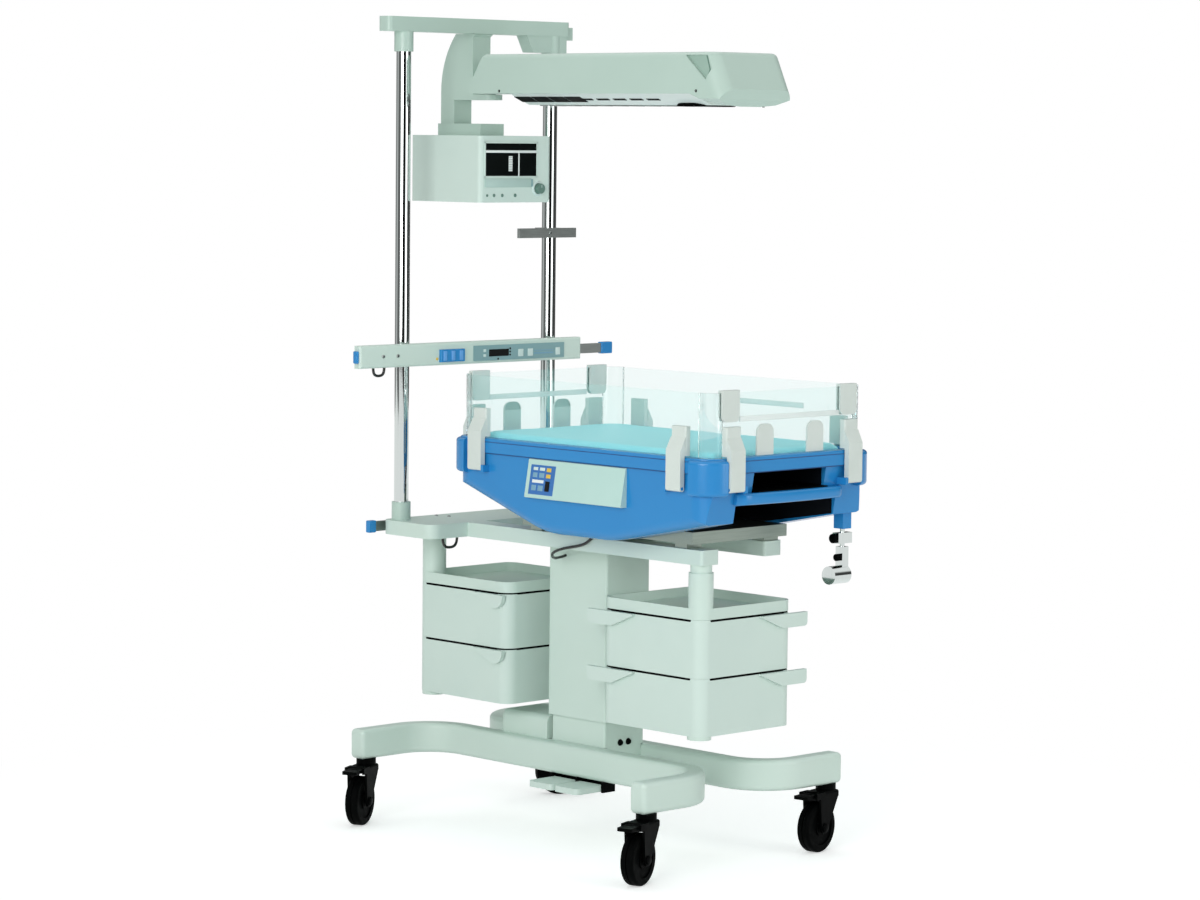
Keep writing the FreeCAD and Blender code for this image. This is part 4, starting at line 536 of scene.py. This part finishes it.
# welded seam round the pad: a closed line along its plan, given its thickness by a node tree
seamLine = {"radius": 0.0022, "rise": 0.5, "inset": 0.0012, "bend": 0.036}


def seamTree(material):
    tree, ids, given = startTree("weldedSeam", {"Seam radius": "Float"})
    line = addOut(tree, "GeometryNodeMeshToCurve", {0: given[0]})
    ring = addOut(tree, "GeometryNodeCurvePrimitiveCircle", {"Resolution": 8, "Radius": given[1]})
    tube = addOut(tree, "GeometryNodeCurveToMesh", {0: line, 1: ring})
    endTree(tree, tube, material)
    return tree, ids


seamPlan = padPlan(seamLine["inset"], seamLine["bend"])
seamMesh = bpy.data.meshes.new("mattressSeam")
seamMesh.from_pydata([(x, y, padLow.z + seamLine["rise"] * padTall) for x, y in seamPlan],
                     [(n, (n + 1) % len(seamPlan)) for n in range(len(seamPlan))], [])
treePiece("mattressSeam", seamMesh, seamTree(coverKnit), [seamLine["radius"]], "bed",
          smooth=True)
print("mattress seam welded")

# tray with ribs along its plate, and a bowed handle bar across the foot of the tub
tray = {"half": 0.119, "foot": -0.676, "head": 0.108, "low": 0.9224, "high": 0.9274, "bevel": 0.0015}
trayRib = {"count": 5, "spread": 2.4, "half": 0.003, "foot": -0.640, "head": 0.088, "sunk": 0.001,
           "proud": 0.002, "bevel": 0.0008}
grip = {"half": 0.180, "low": 0.896, "high": 0.924, "mid": -0.688, "deep": 0.020, "bend": 0.007, "steps": 36,
        "spacing": 1.25, "bow": 0.010, "hook": 0.75, "hookFrom": 0.86}


def trayForm(bm):
    softBox(bm, (-tray["half"], tray["foot"], tray["low"]), (tray["half"], tray["head"], tray["high"]),
            tray["bevel"], segments=2)
    for n in range(trayRib["count"]):
        x = tray["half"] * (n - 2) / trayRib["spread"]
        softBox(bm, (x - trayRib["half"], trayRib["foot"], tray["high"] - trayRib["sunk"]),
                (x + trayRib["half"], trayRib["head"], tray["high"] + trayRib["proud"]),
                trayRib["bevel"], segments=2)


def gripForm(bm):
    tall = (grip["high"] - grip["low"]) / 2
    deep = grip["deep"] / 2
    section = roundPlan(-deep, deep, -tall, tall, grip["bend"], steps=4)
    rings = []
    for n in range(grip["steps"] + 1):
        t = 2 * n / grip["steps"] - 1
        x = grip["half"] * math.copysign(1 - (1 - abs(t)) ** grip["spacing"], t)
        share = abs(x) / grip["half"]
        y = grip["mid"] + grip["bow"] * share ** 2 + max(0.0, share - grip["hookFrom"]) ** 2 * grip["hook"]
        rings.append([(x, y + deep + a, grip["low"] + tall + b) for a, b in section])
    joinRings(bm, rings)


cassetteTray = makePiece("cassetteTray", trayForm, nylonBlack, "tray", angle=35)
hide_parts("xray_tray")
makePiece("trayGrip", gripForm, tubAbs, "tray", angle=35)
print("tray made")

# tub details: painted shade as near-black sheets lining the cassette slot and the hand recess, and as two dark
# lines in the grooves round the rim
slotShadeSheet = {"thick": 0.0008, "half": 0.1239, "low": 0.9224, "high": 0.9718, "foot": -0.650, "head": 0.119}
wellShadeSheet = {"thick": 0.0008, "half": 0.1719, "high": 0.8928, "foot": -0.640, "head": -0.300,
             "footLow": 0.854, "headLow": 0.797}
groove = {"midY": -0.223, "halfX": 0.281, "halfY": 0.449, "bend": 0.060, "proud": 0.0004, "deep": 0.0010,
          "steps": 12, "levels": ((0.9985, 1.0003), (0.9706, 0.9722))}


def slotShadeSheetForm(bm):
    t, half, low, high, foot, head = (slotShadeSheet[k] for k in ("thick", "half", "low", "high", "foot", "head"))
    softBox(bm, (-half, foot, high - t), (half, head, high), t / 4, segments=1)
    softBox(bm, (-half, head - t, low), (half, head, high - t), t / 4, segments=1)
    for edges in ((-half, t - half), (half - t, half)):
        softBox(bm, (edges[0], foot, low), (edges[1], head, high - t), t / 4, segments=1)


def wellShadeSheetForm(bm):
    t, half, high, foot, head = (wellShadeSheet[k] for k in ("thick", "half", "high", "foot", "head"))
    softBox(bm, (-half, foot, high - t), (half, head, high), t / 4, segments=1)
    for edges in ((-half, t - half), (half - t, half)):  # each side follows the rise of the hull to the foot
        slabForm(bm, ((foot, wellShadeSheet["footLow"]), (head, wellShadeSheet["headLow"]), (head, high - t),
                      (foot, high - t)), edges[0], edges[1])


def rimShadeLineForm(bm):
    x, y, midY = (groove[k] for k in ("halfX", "halfY", "midY"))
    for low, high in groove["levels"]:
        bandForm(bm, (-x, x, midY - y, midY + y), groove["bend"], (-groove["proud"], groove["deep"]), low, high,
                 groove["steps"])


makePiece("slotShadeSheet", slotShadeSheetForm, wellShadeAbs, "bed", angle=30)
makePiece("wellShadeSheet", wellShadeSheetForm, wellShadeAbs, "bed", angle=30)
makePiece("rimShadeLines", rimShadeLineForm, grooveShadeAbs, "bed")

# frosted strips on the clear walls, set over the strips of the sheets; walls are (x way, y way, reach, run)
strips = {"low": 1.0915, "high": 1.1045, "sunk": 0.0002, "proud": 0.0036, "midY": -0.223, "bevel": 0.0009,
          "walls": {"foot": (0, -1, 0.435, (-0.171, 0.171)), "head": (0, 1, 0.435, (-0.171, 0.171)),
                    "right": (1, 0, 0.265, (-0.455, -0.228))}}
for wall, (wayX, wayY, reach, run) in strips["walls"].items():
    near, far = sorted((wayX + wayY) * d for d in (reach - strips["sunk"], reach + strips["proud"]))
    if wayX:
        low, high = (near, run[0], strips["low"]), (far, run[1], strips["high"])
    else:
        low = (run[0], strips["midY"] + near, strips["low"])
        high = (run[1], strips["midY"] + far, strips["high"])
    makePiece(f"wallStrip_{wall}", lambda bm: softBox(bm, low, high, strips["bevel"], segments=2), stripPc,
              f"wall_{wall}")
print("tub and walls dressed")

# painted shade in the gaps above the drawers: matt black rounded rectangles flush with the drawers' faces
seal = {"inset": -0.0004, "wide": 0.004, "bend": 0.038, "lift": -0.0012, "tall": 0.0047, "steps": 7,
        "x": (-0.163, 0.158), "units": {"foot": (-0.534, -0.195), "head": (0.143, 0.482)},
        "tops": {"lower": 0.466, "upper": 0.606}}
for unit, run in seal["units"].items():
    for level, top in seal["tops"].items():
        def gapShadeForm(bm):
            low = top + seal["lift"]
            bandForm(bm, seal["x"] + run, seal["bend"], (seal["inset"], seal["inset"] + seal["wide"]), low,
                     low + seal["tall"], seal["steps"])
        makePiece(f"drawerGapShadeBand_{unit}_{level}", gapShadeForm, drawerGapShade, f"drawer_{unit}_{level}")
print("drawer gaps shaded")

# domed screw heads with a hex socket, set on points that carry their direction
screwHead = {"sides": 24, "rings": 3, "crown": 0.72, "hexDeep": 0.0004}


def screwTree(head, socket):
    tree, ids, given = startTree("screwHeads", {"Head radius": "Float", "Head height": "Float",
                                                "Socket radius": "Float"})
    crown = addOut(tree, "ShaderNodeMath", {0: given[1], 1: screwHead["crown"]}, operation="MULTIPLY")
    dome = addOut(tree, "GeometryNodeMeshCone", {"Vertices": screwHead["sides"], "Radius Bottom": given[1],
                                                 "Side Segments": screwHead["rings"], "Radius Top": crown,
                                                 "Depth": given[2]})
    hexCut = addOut(tree, "GeometryNodeMeshCylinder", {"Vertices": 6, "Radius": given[3],
                                                       "Depth": screwHead["hexDeep"]})
    rise = addOut(tree, "ShaderNodeCombineXYZ", {"Z": given[2]})
    hexUp = addOut(tree, "GeometryNodeTransform", {"Geometry": hexCut, "Translation": rise})
    both = addNode(tree, "GeometryNodeJoinGeometry")
    for shape, material in ((dome, head), (hexUp, socket)):
        tree.links.new(coated(tree, shape, material), both.inputs[0])
    facing = addOut(tree, "GeometryNodeInputNamedAttribute", {"Name": "facing"}, data_type="FLOAT_VECTOR")
    aim = addOut(tree, "FunctionNodeAlignRotationToVector", {"Vector": facing}, axis="Z")
    spread = addOut(tree, "GeometryNodeInstanceOnPoints", {"Points": given[0], "Instance": both.outputs[0],
                                                           "Rotation": aim})
    addNode(tree, "NodeGroupOutput", {0: addOut(tree, "GeometryNodeRealizeInstances", {0: spread})})
    return tree, ids


# spots are (place, way); sizes are the head's radius and height and the socket's radius
def screwSet(name, spots, sizes, head, socket, body):
    mesh = bpy.data.meshes.new(name)
    mesh.from_pydata([place for place, way in spots], [], [])
    facing = mesh.attributes.new("facing", "FLOAT_VECTOR", "POINT")
    for target, (place, way) in zip(facing.data, spots):
        target.vector = way
    return treePiece(name, mesh, screwTree(head, socket), sizes, body)


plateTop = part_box("platform")[1].z
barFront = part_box("control_bar")[0].y
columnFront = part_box("column_inner")[0].y
toFoot, upward = (0, -1, 0), (0, 0, 1)
plateSpots = [((-0.119, 0.462, plateTop), upward), ((-0.108, 0.426, plateTop), upward),
              ((-0.360, barFront, 1.1965), toFoot), ((-0.312, barFront, 1.1965), toFoot),
              ((0.226, 0.4125, 1.4975), toFoot)]
columnSpots = [((-0.014, columnFront, 0.2515), toFoot), ((0.014, columnFront, 0.2515), toFoot)]
# black hex discs laid on the steel domes of these screws: painted shade of their hollow sockets
plateScrews = screwSet("plateScrews", plateSpots, (0.005, 0.0025, 0.0022), brushed, nylonBlack, "lift")
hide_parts("screws")
screwSet("columnScrews", columnSpots, (0.0085, 0.005, 0.004), nylonBlack, nylonBlack, "base")
print("screws set")

# monitor face: flush rim and band, generic graph bars, keys, and the knob's collar and pointer
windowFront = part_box("display_windows")[0].y
monitorFront = windowFront + 0.002  # the case's box isn't used, because the knob's shaft stands out further
knobLow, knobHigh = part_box("monitor_knob")
knobMiddle = (knobLow + knobHigh) / 2
knobReach = (knobHigh.x - knobLow.x) / 2
bezel = {"proud": 0.0024, "sunk": 0.0005, "bevel": 0.0008, "segments": 2,
         "fields": [(-0.108, -0.104, 1.643, 1.733), (0.069, 0.073, 1.643, 1.733),
                    (-0.108, 0.073, 1.729, 1.733), (-0.108, 0.073, 1.643, 1.647)]}
graphBar = {"proud": 0.0008, "sunk": 0.0022, "bevel": 0.0008, "segments": 2,
            "fields": [(-0.104, 0.069, 1.7055, 1.7115)]}
graphPost = {"proud": 0.0006, "sunk": 0.0002, "bevel": 0.0002, "segments": 1,
             "fields": [(0.0065, 0.0105, 1.647, 1.705)]}
graphScale = {"proud": 0.0005, "sunk": 0.0002, "bevel": 0.0002, "segments": 1,
              "fields": [(-0.0265, -0.0135, 1.6590 + 0.0043 * n, 1.6626 + 0.0043 * n) for n in range(9)]}
band = {"proud": 0.0024, "sunk": 0.0005, "bevel": 0.0010, "segments": 2,
        "fields": [(-0.106, 0.052, 1.6185, 1.6405)]}
collar = {"steps": 48, "outline": ((0.0006, 0.0005), (0.0006, -0.0028), (0.0022, -0.0040), (0.0050, -0.0036),
                                   (0.0068, -0.0010), (0.0068, 0.0005))}
monitorKeys = {"side": 0.001, "top": 0.0018, "shrink": 0.001, "steps": 20,
               "caps": [(-0.0975, 1.598, 0.0034), (-0.074, 1.598, 0.0042), (-0.046, 1.598, 0.0042),
                        (-0.002, 1.598, 0.0046)]}
pointer = {"proud": 0.0006, "sunk": 0.001, "bevel": 0.0003, "segments": 1,
           "fields": [(knobMiddle.x - 0.0007, knobMiddle.x + 0.0007,
                       knobHigh.z - 0.0105, knobHigh.z - 0.003)]}


def graphForm(bm):
    for piece in (graphBar, graphPost, graphScale):
        faceFields(bm, windowFront, **piece)


def knobCollarForm(bm):
    angles = [2 * math.pi * n / collar["steps"] for n in range(collar["steps"])]
    joinRings(bm, [[(knobMiddle.x + (knobReach + wide) * math.cos(a), monitorFront + deep,
                     knobMiddle.z + (knobReach + wide) * math.sin(a)) for a in angles]
                   for wide, deep in collar["outline"]], looped=True)


makePiece("monitorBezel", lambda bm: faceFields(bm, monitorFront, **bezel), shellAbs, "lift")
makePiece("monitorGraph", graphForm, lampWhite, "lift")
makePiece("monitorBand", lambda bm: faceFields(bm, monitorFront, **band), filmMist, "lift")
makePiece("knobCollar", knobCollarForm, filmPale, "lift")
makePiece("monitorKeys", lambda bm: faceCaps(bm, monitorFront, **monitorKeys), knobAbs, "lift")
makePiece("knobPointer", lambda bm: faceFields(bm, knobLow.y, **pointer), filmPale, "knob")
print("monitor dressed")

# control bar: keys, lines and lamps on the film, a signal lamp, ribs on the push button
filmFront = barFront - 0.0025
buttonLow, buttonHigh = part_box("push_button")
ribMiddles = [buttonLow.x + (buttonHigh.x - buttonLow.x) * (n + 0.5) / 3 for n in range(3)]
wideKeys = {"proud": 0.0012, "sunk": 0.0003, "bevel": 0.0006, "segments": 2,
            "fields": [(x - wide / 2, x + wide / 2, 1.182, 1.201)
                       for x, wide in ((0.103, 0.018), (0.1365, 0.018), (0.2340, 0.016))]}
arrowKeys = {"proud": 0.0010, "sunk": 0.0003, "bevel": 0.0006, "segments": 2,
             "fields": [(-0.0265, -0.0175, z - 0.0035, z + 0.0035) for z in (1.1880, 1.2005)]}
barLines = {"proud": 0.0006, "sunk": 0.0003, "bevel": 0.0003, "segments": 1,
            "fields": [(0.150, 0.218, 1.1865, 1.1905), (0.150, 0.218, 1.1945, 1.1965)]}
barLamps = {"side": 0.0006, "top": 0.0011, "shrink": 0.001, "steps": 16,
            "caps": [(0.0245, 1.1780, 0.0026), (0.0660, 1.2035, 0.0026), (0.0660, 1.1955, 0.0026),
                     (0.0660, 1.1875, 0.0026)]}
signalLamp = {"side": 0.0012, "top": 0.0026, "shrink": 0.0014, "steps": 20,
              "caps": [(-0.182, 1.1845, 0.0036)]}
buttonRibs = {"proud": 0.0016, "sunk": 0.002, "bevel": 0.0012, "segments": 3,
              "fields": [(x - 0.006, x + 0.006, buttonLow.z + 0.004, buttonHigh.z - 0.004) for x in ribMiddles]}


def barKeysForm(bm):
    faceFields(bm, filmFront, **wideKeys)
    faceFields(bm, filmFront, **arrowKeys)


makePiece("barKeys", barKeysForm, filmPale, "lift")
makePiece("barLines", lambda bm: faceFields(bm, filmFront, **barLines), filmSky, "lift")
makePiece("barLamps", lambda bm: faceCaps(bm, filmFront, **barLamps), smokedAcrylic, "lift")
makePiece("signalLamp", lambda bm: faceCaps(bm, barFront, **signalLamp), filmAmber, "lift")
makePiece("buttonRibs", lambda bm: faceFields(bm, buttonLow.y, **buttonRibs), capAbs, "button")
print("control bar dressed")

# side panel keypad on the sloping face, plain keys only
keypad = {"headY": -0.072, "footY": -0.158, "topShare": 0.14, "lowShare": 0.90, "panelTopX": -0.281,
          "sunk": -0.0005, "padLift": 0.0012, "keyLift": 0.0024, "chamfer": 0.0012}
panelLow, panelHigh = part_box("side_panel")
panelSlope = Vector((panelLow.x - keypad["panelTopX"], 0, panelLow.z - panelHigh.z))


def panelPoint(y, share, lift):
    run = panelSlope.normalized()
    out = Vector((run.z, 0, -run.x))
    return Vector((keypad["panelTopX"], y, panelHigh.z)) + panelSlope * share + out * lift


def panelTile(bm, y0, y1, s0, s1, lift):
    lower, upper = ([panelPoint(y, s, rise) for y, s in ((y0, s0), (y1, s0), (y1, s1), (y0, s1))]
                    for rise in (keypad["sunk"], lift))
    middle = sum(upper, Vector()) / 4
    top = [p + (middle - p).normalized() * keypad["chamfer"] for p in upper]
    side = [p - (upper[0] - lower[0]) * 0.25 for p in upper]
    joinRings(bm, [lower, side, top])


# keys of one colour: shares of the keypad's width, and rows as shares of the panel's height
def keyRow(name, material, shares, rows):
    def form(bm):
        run = keypad["footY"] - keypad["headY"]
        for s0, s1 in rows:
            for a, b in shares:
                panelTile(bm, keypad["headY"] + run * a, keypad["headY"] + run * b, s0, s1, keypad["keyLift"])
    makePiece(name, form, material, "bed", angle=20)


makePiece("sideKeypad", lambda bm: panelTile(bm, keypad["headY"], keypad["footY"], keypad["topShare"],
                                             keypad["lowShare"], keypad["padLift"]),
          filmNavy, "bed", angle=20)
keyRow("keysAmber", filmAmber, [(0.66, 0.84)], [(0.20, 0.30), (0.36, 0.46)])
keyRow("keysPale", filmPale, [(0.12, 0.30), (0.38, 0.58)], [(0.20, 0.28)])
keyRow("keysBar", lampWhite, [(0.12, 0.58)], [(0.52, 0.60)])
keyRow("keysTeal", filmSky, [(0.12, 0.30), (0.38, 0.58)], [(0.34, 0.46), (0.66, 0.80)])
keyRow("keysScale", smokedAcrylic, [(0.66, 0.84)], [(0.54, 0.80)])
print("side panel dressed")


# heater: shapes repeated along it by node trees that share a row of points
def startRow(name, more):
    tree, ids, given = startTree(name, {"Count": "Int", "Pitch": "Float", "First place": "Vector", **more})
    step = addOut(tree, "ShaderNodeCombineXYZ", {"Y": given[2]})
    row = addOut(tree, "GeometryNodeMeshLine", {"Count": given[1], "Start Location": given[3], "Offset": step})
    return tree, ids, given, row


def endRow(tree, row, shape, material):
    spread = addOut(tree, "GeometryNodeInstanceOnPoints", {"Points": row, "Instance": shape})
    endTree(tree, spread, material)


# guard wires across the pan
guard = {"count": 9, "pitch": 0.056, "half": 0.0445, "wire": 0.0016, "drop": 0.0012, "first": 0.150}


def guardTree(material):
    tree, ids, given, row = startRow("guardWires", {"Wire radius": "Float", "Half length": "Float"})
    back = addOut(tree, "ShaderNodeMath", {0: given[5], 1: -1.0}, operation="MULTIPLY")
    leftEnd = addOut(tree, "ShaderNodeCombineXYZ", {"X": back})
    rightEnd = addOut(tree, "ShaderNodeCombineXYZ", {"X": given[5]})
    run = addOut(tree, "GeometryNodeCurvePrimitiveLine", {"Start": leftEnd, "End": rightEnd})
    ring = addOut(tree, "GeometryNodeCurvePrimitiveCircle", {"Resolution": 8, "Radius": given[4]})
    wire = addOut(tree, "GeometryNodeCurveToMesh", {0: run, 1: ring, "Fill Caps": True})
    endRow(tree, row, wire, material)
    return tree, ids


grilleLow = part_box("heater_grille")[0]
treePiece("guardWires", bpy.data.meshes.new("guardWires"), guardTree(brushed),
          [guard["count"], guard["pitch"], (0, grilleLow.y + guard["first"], grilleLow.z - guard["drop"]),
           guard["wire"], guard["half"]], "heater")

# black boxes laid on the pan's sloping sides: a row of slots, their black painted shade of the hollow behind
# them, and at the back larger patches of painted shadow under the heater
pan = {"topX": 0.112, "topZ": 1.853, "lowX": 0.046, "lowZ": 1.826, "deep": 0.0022,
       "slots": {"count": 5, "pitch": 0.058, "long": 0.042, "wide": 0.009, "first": -0.270},
       "backShade": {"count": 4, "pitch": 0.060, "long": 0.056, "wide": 0.032, "first": 0.000}}


def slotShadeTree(material):
    tree, ids, given, row = startRow("panSlotShade", {"Slot size": "Vector", "Lean": "Float"})
    blank = addOut(tree, "GeometryNodeMeshCube", {"Size": given[4]})
    turn = addOut(tree, "ShaderNodeCombineXYZ", {"Y": given[5]})
    lean = addOut(tree, "FunctionNodeEulerToRotation", {0: turn})
    laid = addOut(tree, "GeometryNodeTransform", {"Geometry": blank, "Rotation": lean})
    endRow(tree, row, laid, material)
    return tree, ids


panLean = math.atan2(pan["topZ"] - pan["lowZ"], pan["topX"] - pan["lowX"])
panMiddle = ((pan["topX"] + pan["lowX"]) / 2, (pan["topZ"] + pan["lowZ"]) / 2)
slotShadeRule = slotShadeTree(nylonBlack)
for side, way in (("left", -1), ("right", 1)):
    for kind in ("slots", "backShade"):
        cut = pan[kind]
        name = f"pan_{kind}_{side}"
        treePiece(name, bpy.data.meshes.new(name), slotShadeRule,
                  [cut["count"], cut["pitch"], (way * panMiddle[0], cut["first"], panMiddle[1]),
                   (cut["wide"], cut["long"], pan["deep"]), -way * panLean], "heater")

# one long lamp under the front of the pan: black surround and opal cover, whose rings are (inset, rise)
lampBar = {"sides": (-0.060, 0.060, -0.4315, -0.303), "low": 1.8229, "high": 1.8330, "bend": 0.048,
           "wide": 0.011, "steps": 10, "cover": ((0.0115, 0.0016), (0.0115, 0.0010), (0.016, 0.0004))}


def lampRingForm(bm):
    bandForm(bm, lampBar["sides"], lampBar["bend"], (0, lampBar["wide"]), lampBar["low"], lampBar["high"],
             lampBar["steps"])


def lampCoverForm(bm):
    x0, x1, y0, y1 = lampBar["sides"]
    joinRings(bm, [[(x, y, lampBar["low"] + rise) for x, y in
                    roundPlan(x0 + d, x1 - d, y0 + d, y1 - d, lampBar["bend"] - d, lampBar["steps"])]
                   for d, rise in lampBar["cover"]])


makePiece("lampSurround", lampRingForm, nylonBlack, "heater")
makePiece("lampCover", lampCoverForm, lampWhite, "heater")

# painted shade in the V-shaped recess on each side of the nose: a darker sheet on its floor and a dark strip
# along its front wall, corners as (y, z)
vee = {"x": 0.117, "sunk": 0.0003, "floorThick": 0.001, "shadeStripThick": 0.0016,
       "floor": ((-0.4245, 1.9425), (-0.4887, 1.8872), (-0.4990, 1.9095), (-0.4880, 1.9425)),
       # the strip of painted shade along the recess's front wall
       "seal": ((-0.4887, 1.8872), (-0.4990, 1.9095), (-0.4880, 1.9425), (-0.4848, 1.9425), (-0.4958, 1.9091),
                (-0.4871, 1.8888))}


def veeForm(bm, corners, thick):
    for way in (-1, 1):
        slabForm(bm, corners, way * (vee["x"] - vee["sunk"]), way * (vee["x"] + thick))


makePiece("veeFloor", lambda bm: veeForm(bm, vee["floor"], vee["floorThick"]), hoodShade, "heater")
makePiece("veeWallShadeStrip", lambda bm: veeForm(bm, vee["seal"], vee["shadeStripThick"]), veeWallShade, "heater")
heaterLow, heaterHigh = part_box("heater_housing")
heaterSpots = [((x, y, 1.8590), (way, 0, 0)) for y in (-0.458, 0.230)
               for x, way in ((heaterLow.x, -1), (heaterHigh.x, 1))]
heaterSpots += [((x, -0.512, 1.8238), (0, 0, -1)) for x in (-0.050, 0.050)]
screwSet("heaterScrews", heaterSpots, (0.0036, 0.0016, 0.0018), nylonBlack, brushed, "heater")
print("heater dressed")

# hose clamp: black thumb knobs over the ends of its two screws, each as (x, z, radius) with one grooved outline
thumb = {"y": -0.618, "steps": 28, "knobs": ((0.1985, 0.789, 0.0116), (0.2115, 0.742, 0.0086)),
         "outline": ((0.7, 0), (1, 0.0022), (1, 0.0058), (0.9, 0.0068), (1, 0.0078), (1, 0.0121),
                     (0.86, 0.0133))}


def thumbForm(bm):
    for x, z, radius in thumb["knobs"]:
        profile = [(radius * share, height) for share, height in thumb["outline"]]
        turnedForm(bm, profile, (x, thumb["y"], z), (1, 0, 0), thumb["steps"])


makePiece("clampThumbs", thumbForm, nylonBlack, "clamp")
print("clamp dressed")

# casters: a cap on each end of the axle; corners are (x, y, heading)
casters = {"head_left": (-0.311, 0.508, 207), "foot_left": (-0.311, -0.508, 198),
           "foot_right": (0.311, -0.508, 189), "head_right": (0.311, 0.508, 330)}
axle = {"trail": 0.040, "z": 0.0625, "cheek": 0.027, "steps": 24,
        "cap": ((0.0115, 0), (0.0115, 0.0025), (0.009, 0.0045), (0.0035, 0.0052))}
for corner, (x, y, heading) in casters.items():
    along = Vector((math.cos(math.radians(heading)), math.sin(math.radians(heading)), 0))
    side = Vector((-along.y, along.x, 0))
    centre = Vector((x, y, axle["z"])) + along * axle["trail"]

    def capForm(bm):
        for way in (-1, 1):
            turnedForm(bm, axle["cap"], centre + side * way * axle["cheek"], side * way, axle["steps"])
    makePiece(f"axleCaps_{corner}", capForm, nylonBlack, f"fork_{corner}")
print("casters dressed")

# stage: pale paper floor, soft studio light
stage = {"half": 14.0, "glow": 0.42, "near": 0.75, "far": 1.9, "dark": "#F1F3F2", "light": "#F6F8F7"}
plainWhite = (1, 1, 1, 1)


def floorForm(bm):
    bm.faces.new([bm.verts.new((sx * stage["half"], sy * stage["half"], 0))
                  for sx, sy in ((-1, -1), (1, -1), (1, 1), (-1, 1))])


floorMaterial, paper, paperPlace = startMaterial("studioFloor")
paperCloud = addNoise(paper, paperPlace, scale=2.0, detail=2.0)
paperTone = addTone(paper, paperCloud, stage["dark"], stage["light"])
paperSkin = addOut(paper, "ShaderNodeBsdfPrincipled", {"Base Color": paperTone, "Roughness": 0.9})
glow = addOut(paper, "ShaderNodeEmission", {"Color": plainWhite, "Strength": stage["glow"]})
lit = addOut(paper, "ShaderNodeAddShader", {0: paperSkin, 1: glow})
# away from the object the paper runs out into plain white, seen by the camera and in metal and glass
distance = addNode(paper, "ShaderNodeVectorMath", {0: paperPlace}, operation="LENGTH")
away = addOut(paper, "ShaderNodeMapRange", {"Value": distance.outputs["Value"], "From Min": stage["near"],
                                            "From Max": stage["far"]}, interpolation_type="SMOOTHSTEP")
blank = addOut(paper, "ShaderNodeEmission", {"Color": plainWhite, "Strength": 1.0})
runOut = addMix(paper, away, lit, blank)
ray = addNode(paper, "ShaderNodeLightPath").outputs
seen = addEither(paper, ray["Is Camera Ray"], ray["Is Transmission Ray"])
shown = addEither(paper, seen, ray["Is Glossy Ray"])
addNode(paper, "ShaderNodeOutputMaterial", {"Surface": addMix(paper, shown, paperSkin, runOut)})
floorMesh = smoothMesh("studioFloor", floorForm)
floorMesh.materials.append(floorMaterial)
floor = bpy.data.objects.new("studioFloor", floorMesh)
scene.collection.objects.link(floor)

# a studio's dark flags between white walls, seen only as reflections, so that chrome has something to mirror
flags = {"turn": 133.9, "low": 0.30, "high": 0.50, "ramp": [
    (0.00, 0.30), (0.20, 0.30), (0.205, 0.60), (0.27, 0.60), (0.275, 0.16), (0.385, 0.16), (0.39, 1.0),
    (0.455, 1.0), (0.46, 0.01), (0.605, 0.01), (0.61, 1.0), (0.665, 1.0), (0.67, 0.05), (0.99, 0.10)]}
world = bpy.data.worlds.new("studio")
scene.world = world
world.use_nodes = True
sky = world.node_tree
sky.nodes.clear()
fill = addOut(sky, "ShaderNodeBackground", {"Color": linear("#F4F8F7"), "Strength": 0.52})
white = addOut(sky, "ShaderNodeBackground", {"Color": plainWhite, "Strength": 1.0})
heading = addNode(sky, "ShaderNodeTexCoord").outputs["Generated"]
turn = (0, 0, math.radians(flags["turn"]))
turned = addOut(sky, "ShaderNodeMapping", {"Vector": heading, "Rotation": turn})
around = addNode(sky, "ShaderNodeTexGradient", {"Vector": turned}, gradient_type="RADIAL")
wall = addNode(sky, "ShaderNodeValToRGB", {"Fac": around.outputs["Fac"]})
wall.color_ramp.interpolation = "LINEAR"
while len(wall.color_ramp.elements) < len(flags["ramp"]):
    wall.color_ramp.elements.new(0.5)
for element, (spot, level) in zip(wall.color_ramp.elements, flags["ramp"]):
    element.position = spot
    element.color = (level, level, level, 1)
parts = addNode(sky, "ShaderNodeSeparateXYZ", {"Vector": heading})
tilt = addOut(sky, "ShaderNodeMath", {0: parts.outputs["Z"]}, operation="ABSOLUTE")
steep = addRange(sky, tilt, (0.0, 1.0), (flags["low"], flags["high"]))
room = addNode(sky, "ShaderNodeMix", {0: steep, 6: wall.outputs["Color"], 7: plainWhite}, data_type="RGBA")
mirrored = addOut(sky, "ShaderNodeBackground", {"Color": room.outputs[2], "Strength": 1.0})
ray = addNode(sky, "ShaderNodeLightPath").outputs
glossSky = addMix(sky, ray["Is Glossy Ray"], fill, mirrored)
seen = addEither(sky, ray["Is Camera Ray"], ray["Is Transmission Ray"])
addNode(sky, "ShaderNodeOutputWorld", {"Surface": addMix(sky, seen, glossSky, white)})

# three square lamps, aimed at the middle of the warmer
lampAim = Vector((0, -0.1, 0.9))
lamps = {"key": {"place": (-4.6, -2.2, 2.2), "width": 2.6, "power": 120},
         "front": {"place": (1.4, -5.0, 1.6), "width": 2.2, "power": 45},
         "top": {"place": (0.4, 0.6, 4.6), "width": 3.0, "power": 30}}
for name, look in lamps.items():
    lamp = bpy.data.lights.new(name, "AREA")
    lamp.shape = "SQUARE"
    lamp.size = look["width"]
    lamp.energy = look["power"]
    item = bpy.data.objects.new(name, lamp)
    item.location = look["place"]
    item.rotation_euler = (lampAim - Vector(look["place"])).to_track_quat("-Z", "Y").to_euler()
    scene.collection.objects.link(item)
scene.view_settings.view_transform = "Standard"
print("stage lit")
